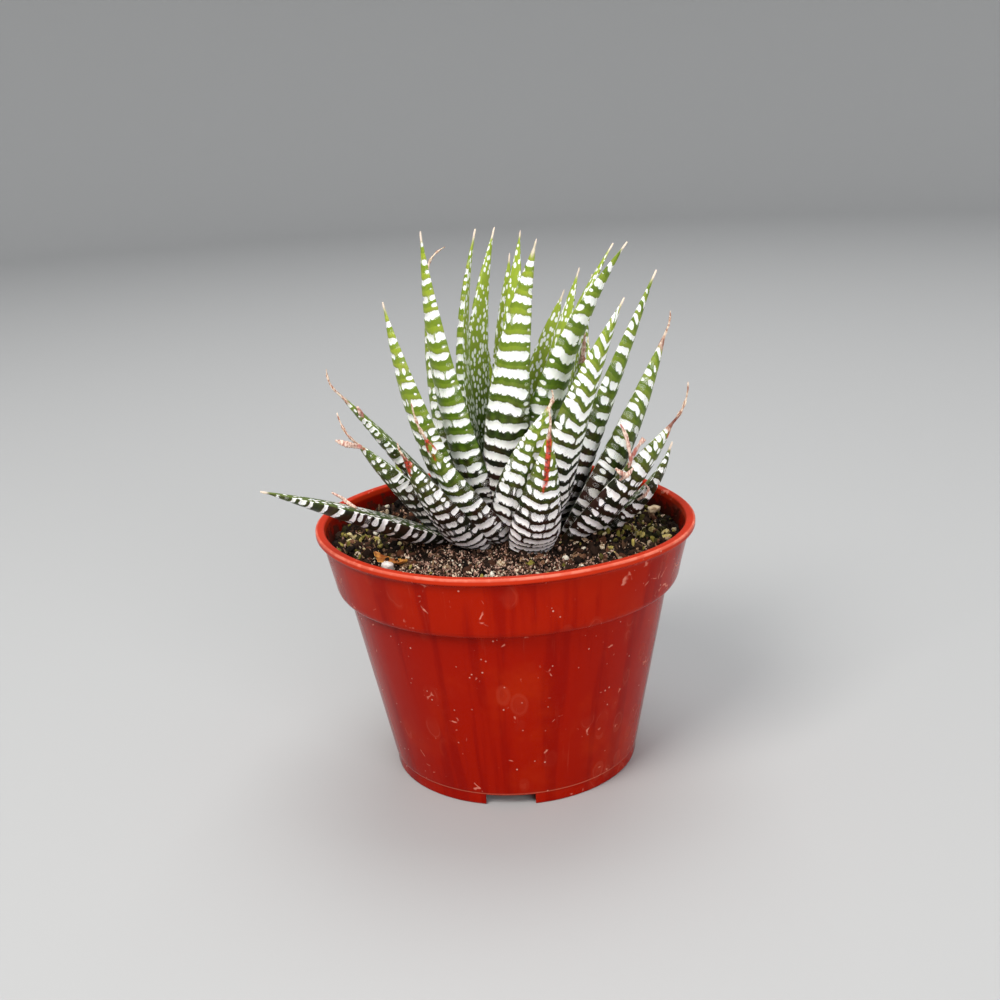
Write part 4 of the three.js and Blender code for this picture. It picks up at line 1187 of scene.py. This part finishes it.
def make_shreds():
    tubes = []
    angles = round_turn(SHRED_SIDES)
    for number, (path, widths) in enumerate(SHREDS):
        path = np.array(path)
        stations = np.linspace(0.0, len(path) - 1.0, 10 * (len(path) - 1) + 1)
        whole = np.minimum(stations.astype(int), len(path) - 2)
        t = (stations - whole)[:, None]
        slopes = np.gradient(path, axis=0)
        start, end, go, come = path[whole], path[whole + 1], slopes[whole], slopes[whole + 1]
        line = ((2 * t ** 3 - 3 * t ** 2 + 1) * start + (t ** 3 - 2 * t ** 2 + t) * go
                + (3 * t ** 2 - 2 * t ** 3) * end + (t ** 3 - t ** 2) * come)
        points = []
        for step, centre in enumerate(line):
            ahead = unit(line[min(step + 1, len(line) - 1)] - line[max(step - 1, 0)])
            side = unit(np.cross(ahead, (0.0, 1.0, 0.0)))
            twist = 0.5 * math.sin(0.45 * step + 2.0 * number)
            side = math.cos(twist) * side + math.sin(twist) * np.cross(ahead, side)
            back = np.cross(side, ahead)
            half = np.interp(stations[step], range(len(widths)), widths)
            half *= 1.0 + 0.22 * math.sin(1.3 * step + number) * math.sin(0.7 * step)
            for a in angles:
                crease = 1.0 + 0.25 * math.sin(3.0 * a + 0.6 * step)
                depth = SHRED_DEPTH * crease * math.sin(a)
                points.append(centre + half * math.cos(a) * side + depth * back)
        points += [line[0], line[-1]]
        tubes.append((points, tube_faces(len(line), SHRED_SIDES)))
    dress(piece("withered_shreds", *joined(tubes), withered()), "dry_leaf")


LUMP_RINGS, LUMP_SIDES, LUMP_SPLITS = 26, 40, 11
SCRAP_RINGS, SCRAP_SIDES = 60, 24

# Where each loose piece lies: its middle from the pot's axis, and its turn in degrees.
PEBBLE_PLACE, PEBBLE_SIZE = (-30.2, -24.0, -37.0), (3.6, 2.8, 2.4)
CHIP_PLACE, CHIP_SIZE = (41.0, 9.0, 50.0), (4.8, 3.0, 2.0)
SCRAP_PLACE, SCRAP_SIZE = (-29.8, -19.5, -37.0), (11.6, 4.0, 1.6)  # its last size is its curl


def laid(name, x, y, turn, points):
    """Points turned about their own middle and laid at the height of a node of the frame."""
    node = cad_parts[name]
    heights = [(node.matrix_world @ Vector(corner)).z / MM for corner in node.bound_box]
    c, s = math.cos(math.radians(turn)), math.sin(math.radians(turn))
    points = np.asarray(points, float)
    turned = points @ np.array([[c, s, 0.0], [-s, c, 0.0], [0.0, 0.0, 1.0]])
    middle = 0.5 * (points[:, 2].min() + points[:, 2].max())
    return turned + (x, y, 0.5 * (min(heights) + max(heights)) - middle)


def make_lump(name, place, size, squareness, seed, material, slot, node):
    """A stone or a chip: a rounded block that a few splits have cut flat."""
    chance = np.random.default_rng(seed)
    turns = round_turn(LUMP_SIDES)
    fall = np.linspace(0.0, math.pi, LUMP_RINGS + 2)[1:-1]
    rings = [circle(math.sin(angle), turns, -math.cos(angle)) for angle in fall]
    ball = np.vstack([*rings, (0.0, 0.0, -1.0), (0.0, 0.0, 1.0)])
    block = np.sign(ball) * np.abs(ball) ** squareness
    for _ in range(LUMP_SPLITS):
        normal = unit(chance.normal(size=3))
        past = np.maximum(block @ normal - chance.uniform(0.72, 0.95), 0.0)
        block -= 0.9 * past[:, None] * normal
    waves = chance.uniform(3.0, 11.0, (6, 3))
    rough = sum(np.sin(block @ w + i) for i, w in enumerate(waves)) * 0.018
    block *= (1.0 + rough[:, None]) * np.array(size) / 2
    obj = piece(name, laid(node, *place, block), tube_faces(LUMP_RINGS, LUMP_SIDES), material)
    dress(obj, slot, node)


def make_scrap():
    """A curled flake with a ragged edge and crumpled faces."""
    length, breadth, curl = SCRAP_SIZE
    points = []
    for t in np.linspace(-0.49, 0.49, SCRAP_RINGS):
        ragged = 1.0 + 0.16 * math.sin(23.0 * t) + 0.10 * math.sin(61.0 * t + 1.0)
        half = 0.5 * breadth * (1.0 - abs(2.0 * t) ** 2.2) ** 0.7 * ragged
        for a in round_turn(SCRAP_SIDES):
            v = math.cos(a)
            crumple = 0.16 * math.sin(19.0 * t + 2.6 * v) + 0.09 * math.sin(41.0 * t - 4.0 * v)
            rise = 4.0 * curl * t * t + crumple * (1.0 - v * v) + 0.5 * v * v + 0.2 * math.sin(a)
            points.append((length * t, half * v + 0.3 * math.sin(9.0 * t), rise))
    points += [(-0.5 * length, 0.0, curl), (0.5 * length, 0.0, curl)]
    flake = streaked("Dry leaf", 420.0, (0.30, 0.07, 0.010), (0.78, 0.36, 0.06), (0.35, 0.68),
                     (0.3, 0.7), 0.45, change=0.2)
    points = laid("leaf_scrap", *SCRAP_PLACE, points)
    obj = piece("curled_scrap", points, tube_faces(SCRAP_RINGS, SCRAP_SIDES), flake)
    dress(obj, "dry_leaf", "leaf_scrap")


def make_litter():
    stone = streaked("Pale stone", 500.0, (0.52, 0.42, 0.38), (0.82, 0.76, 0.71), (0.35, 0.7),
                     (0.2, 0.5), 0.6, change=0.2)
    bark = streaked("Tan bark", 1500.0, (0.26, 0.15, 0.07), (0.78, 0.62, 0.40), (0.32, 0.66),
                    (0.4, 0.8), 0.88, stretch=(0.2, 1.0, 1.0), turn=-0.87, grain=0.65)
    make_lump("white_pebble", PEBBLE_PLACE, PEBBLE_SIZE, 0.85, 12, stone, "pale_stone", "pebble")
    make_lump("split_bark", CHIP_PLACE, CHIP_SIZE, 0.6, 5, bark, "tan_bark", "bark_chip")
    make_scrap()
    make_shreds()


def make_stem():
    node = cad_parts["stem"]
    node.data.materials.clear()
    node.data.materials.append(streaked(
        "Stem fibre", 900.0, (0.20, 0.13, 0.075), (0.56, 0.46, 0.31), (0.3, 0.7), (0.3, 0.7), 0.86,
        stretch=(1.0, 1.0, 0.15)))


# ---- stage ----------------------------------------------------------------------------------

CAMERA_PLACE = (0.0042, -0.33287, 0.17716)
CAMERA_RIGHT = (0.99862, -0.01266, -0.05091)
CAMERA_UP = (0.05237, 0.29862, 0.95293)
CAMERA_BACK = (0.00314, -0.95429, 0.29887)
LENS, SENSOR = 46.8, 36.0
BACKDROP_REACH = 1500.0  # from the pot's axis to where the floor curves up
BACKDROP_CURVE = 500.0
BACKDROP_HEIGHT = 1100.0
BACKDROP_SIDES = 96
AIM = (0.0, 0.0, 0.07)  # the point that the lights look at, in metres as are their places

# For each light: its place, its size, its share of the key's power, and its tint.
LIGHTS = {
    "key_light": ((-0.55, -0.70, 1.05), 0.55, 1.0, (1.0, 0.98, 0.95)),
    "fill_light": ((0.50, -1.10, 0.42), 0.7, 0.62, (0.97, 0.98, 1.0)),
    "top_light": ((0.1, 0.45, 1.25), 0.9, 0.6, (1.0, 1.0, 1.0)),
}
SKY, SKY_STRENGTH = (0.9, 0.94, 1.0, 1.0), 0.5


def make_stage(settings):
    s = Surface("Stage floor")
    cloud = s.noise(s.place, 3.0, 3.0, 0.5)
    colour = s.mix(cloud * 0.1, tuple(settings.floor), (0.42, 0.42, 0.41))
    material = s.finish(Base_Color=colour, Roughness=0.7)
    # a flat floor that curves up into a low wall all round, seen alike from every side
    sides = BACKDROP_SIDES
    profile = [(BACKDROP_REACH + BACKDROP_CURVE, BACKDROP_HEIGHT)]
    for turn in np.linspace(0.5 * math.pi, 0.0, 14):
        profile.append((BACKDROP_REACH + BACKDROP_CURVE * math.sin(turn),
                        BACKDROP_CURVE * (1.0 - math.cos(turn))))
    profile += [(0.5 * BACKDROP_REACH, 0.0), (200.0, 0.0)]
    points = [circle(radius, round_turn(sides), height) for radius, height in profile]
    last = (len(profile) - 1) * sides
    fan = [(last + sides, last + k, last + (k + 1) % sides) for k in range(sides)]
    faces = grid_faces(len(profile), sides) + fan
    floor = piece("floor", np.vstack([*points, (0.0, 0.0, 0.0)]), faces, material)

    for name, (place, size, share, tint) in LIGHTS.items():
        lamp = bpy.data.lights.new(name, "AREA")
        lamp.size, lamp.energy, lamp.color = size, share * settings.key, tint
        light = bpy.data.objects.new(name, lamp)
        light.location = place
        aim = Vector(AIM) - Vector(place)
        light.rotation_euler = aim.to_track_quat("-Z", "Y").to_euler()
        bpy.context.scene.collection.objects.link(light)

    world = bpy.data.worlds.new("Soft daylight")
    world.use_nodes = True
    sky = world.node_tree.nodes["Background"]
    sky.inputs["Color"].default_value = SKY
    sky.inputs["Strength"].default_value = SKY_STRENGTH
    bpy.context.scene.world = world

    bpy.context.scene.view_settings.view_transform = "Standard"

    lens = bpy.data.cameras.new("camera")
    lens.lens, lens.sensor_width, lens.clip_start = LENS, SENSOR, 0.01
    camera = bpy.data.objects.new("camera", lens)
    axes = Matrix((CAMERA_RIGHT, CAMERA_UP, CAMERA_BACK)).transposed()
    camera.matrix_world = Matrix.Translation(CAMERA_PLACE) @ axes.to_4x4()
    bpy.context.scene.collection.objects.link(camera)
    bpy.context.scene.camera = camera


# ---- add-on ---------------------------------------------------------------------------------


class HAWORTHIA_OT_pot(bpy.types.Operator):
    """Make the nursery pot"""

    bl_idname = "haworthia.pot"
    bl_label = "Pot"

    def execute(self, context):
        make_pot(context.scene.haworthia_pot)
        return {"FINISHED"}


class HAWORTHIA_OT_potting_mix(bpy.types.Operator):
    """Make the bed of potting mix"""

    bl_idname = "haworthia.potting_mix"
    bl_label = "Potting Mix"

    def execute(self, context):
        make_potting_mix(context.scene.haworthia_mix)
        return {"FINISHED"}


class HAWORTHIA_OT_loose_mix(bpy.types.Operator):
    """Scatter crumbs, grit and perlite over the bed"""

    bl_idname = "haworthia.loose_mix"
    bl_label = "Loose Grains"

    def execute(self, context):
        make_loose_mix(context.scene.haworthia_mix)
        return {"FINISHED"}


class HAWORTHIA_OT_leaves(bpy.types.Operator):
    """Make the leaves with their white bands"""

    bl_idname = "haworthia.leaves"
    bl_label = "Leaves"

    def execute(self, context):
        make_leaves(context.scene.haworthia_leaf)
        return {"FINISHED"}


class HAWORTHIA_OT_stem(bpy.types.Operator):
    """Finish the stem and its roots"""

    bl_idname = "haworthia.stem"
    bl_label = "Stem"

    def execute(self, context):
        make_stem()
        return {"FINISHED"}


class HAWORTHIA_OT_litter(bpy.types.Operator):
    """Finish the pebble, the bark chip and the scrap of leaf"""

    bl_idname = "haworthia.litter"
    bl_label = "Loose Pieces"

    def execute(self, context):
        make_litter()
        return {"FINISHED"}


class HAWORTHIA_OT_stage(bpy.types.Operator):
    """Set up the floor, the light and the camera"""

    bl_idname = "haworthia.stage"
    bl_label = "Stage"

    def execute(self, context):
        make_stage(context.scene.haworthia_stage)
        return {"FINISHED"}


OPERATORS = (
    HAWORTHIA_OT_pot,
    HAWORTHIA_OT_potting_mix,
    HAWORTHIA_OT_loose_mix,
    HAWORTHIA_OT_leaves,
    HAWORTHIA_OT_stem,
    HAWORTHIA_OT_litter,
    HAWORTHIA_OT_stage,
)


class HAWORTHIA_PT_panel(bpy.types.Panel):
    """Steps that build the potted haworthia"""

    bl_idname = "HAWORTHIA_PT_panel"
    bl_label = "Potted Haworthia"
    bl_space_type = "VIEW_3D"
    bl_region_type = "UI"
    bl_category = "Haworthia"

    def draw(self, context):
        for name, group in SETTINGS.items():
            box = self.layout.box()
            box.label(text=group.__doc__)
            for prop in group.__annotations__:
                box.prop(getattr(context.scene, name), prop)
        for operator in OPERATORS:
            self.layout.operator(operator.bl_idname)


def register():
    for group in (*SETTINGS.values(), *OPERATORS, HAWORTHIA_PT_panel):
        bpy.utils.register_class(group)
    for name, group in SETTINGS.items():
        setattr(bpy.types.Scene, name, PointerProperty(type=group))


def unregister():
    for name in SETTINGS:
        delattr(bpy.types.Scene, name)
    for group in (*SETTINGS.values(), *OPERATORS, HAWORTHIA_PT_panel):
        bpy.utils.unregister_class(group)


def main():
    register()
    bpy.ops.haworthia.pot()
    bpy.ops.haworthia.potting_mix()
    bpy.ops.haworthia.loose_mix()
    bpy.ops.haworthia.leaves()
    bpy.ops.haworthia.stem()
    bpy.ops.haworthia.litter()
    bpy.ops.haworthia.stage()


if __name__ == "__main__":
    main()
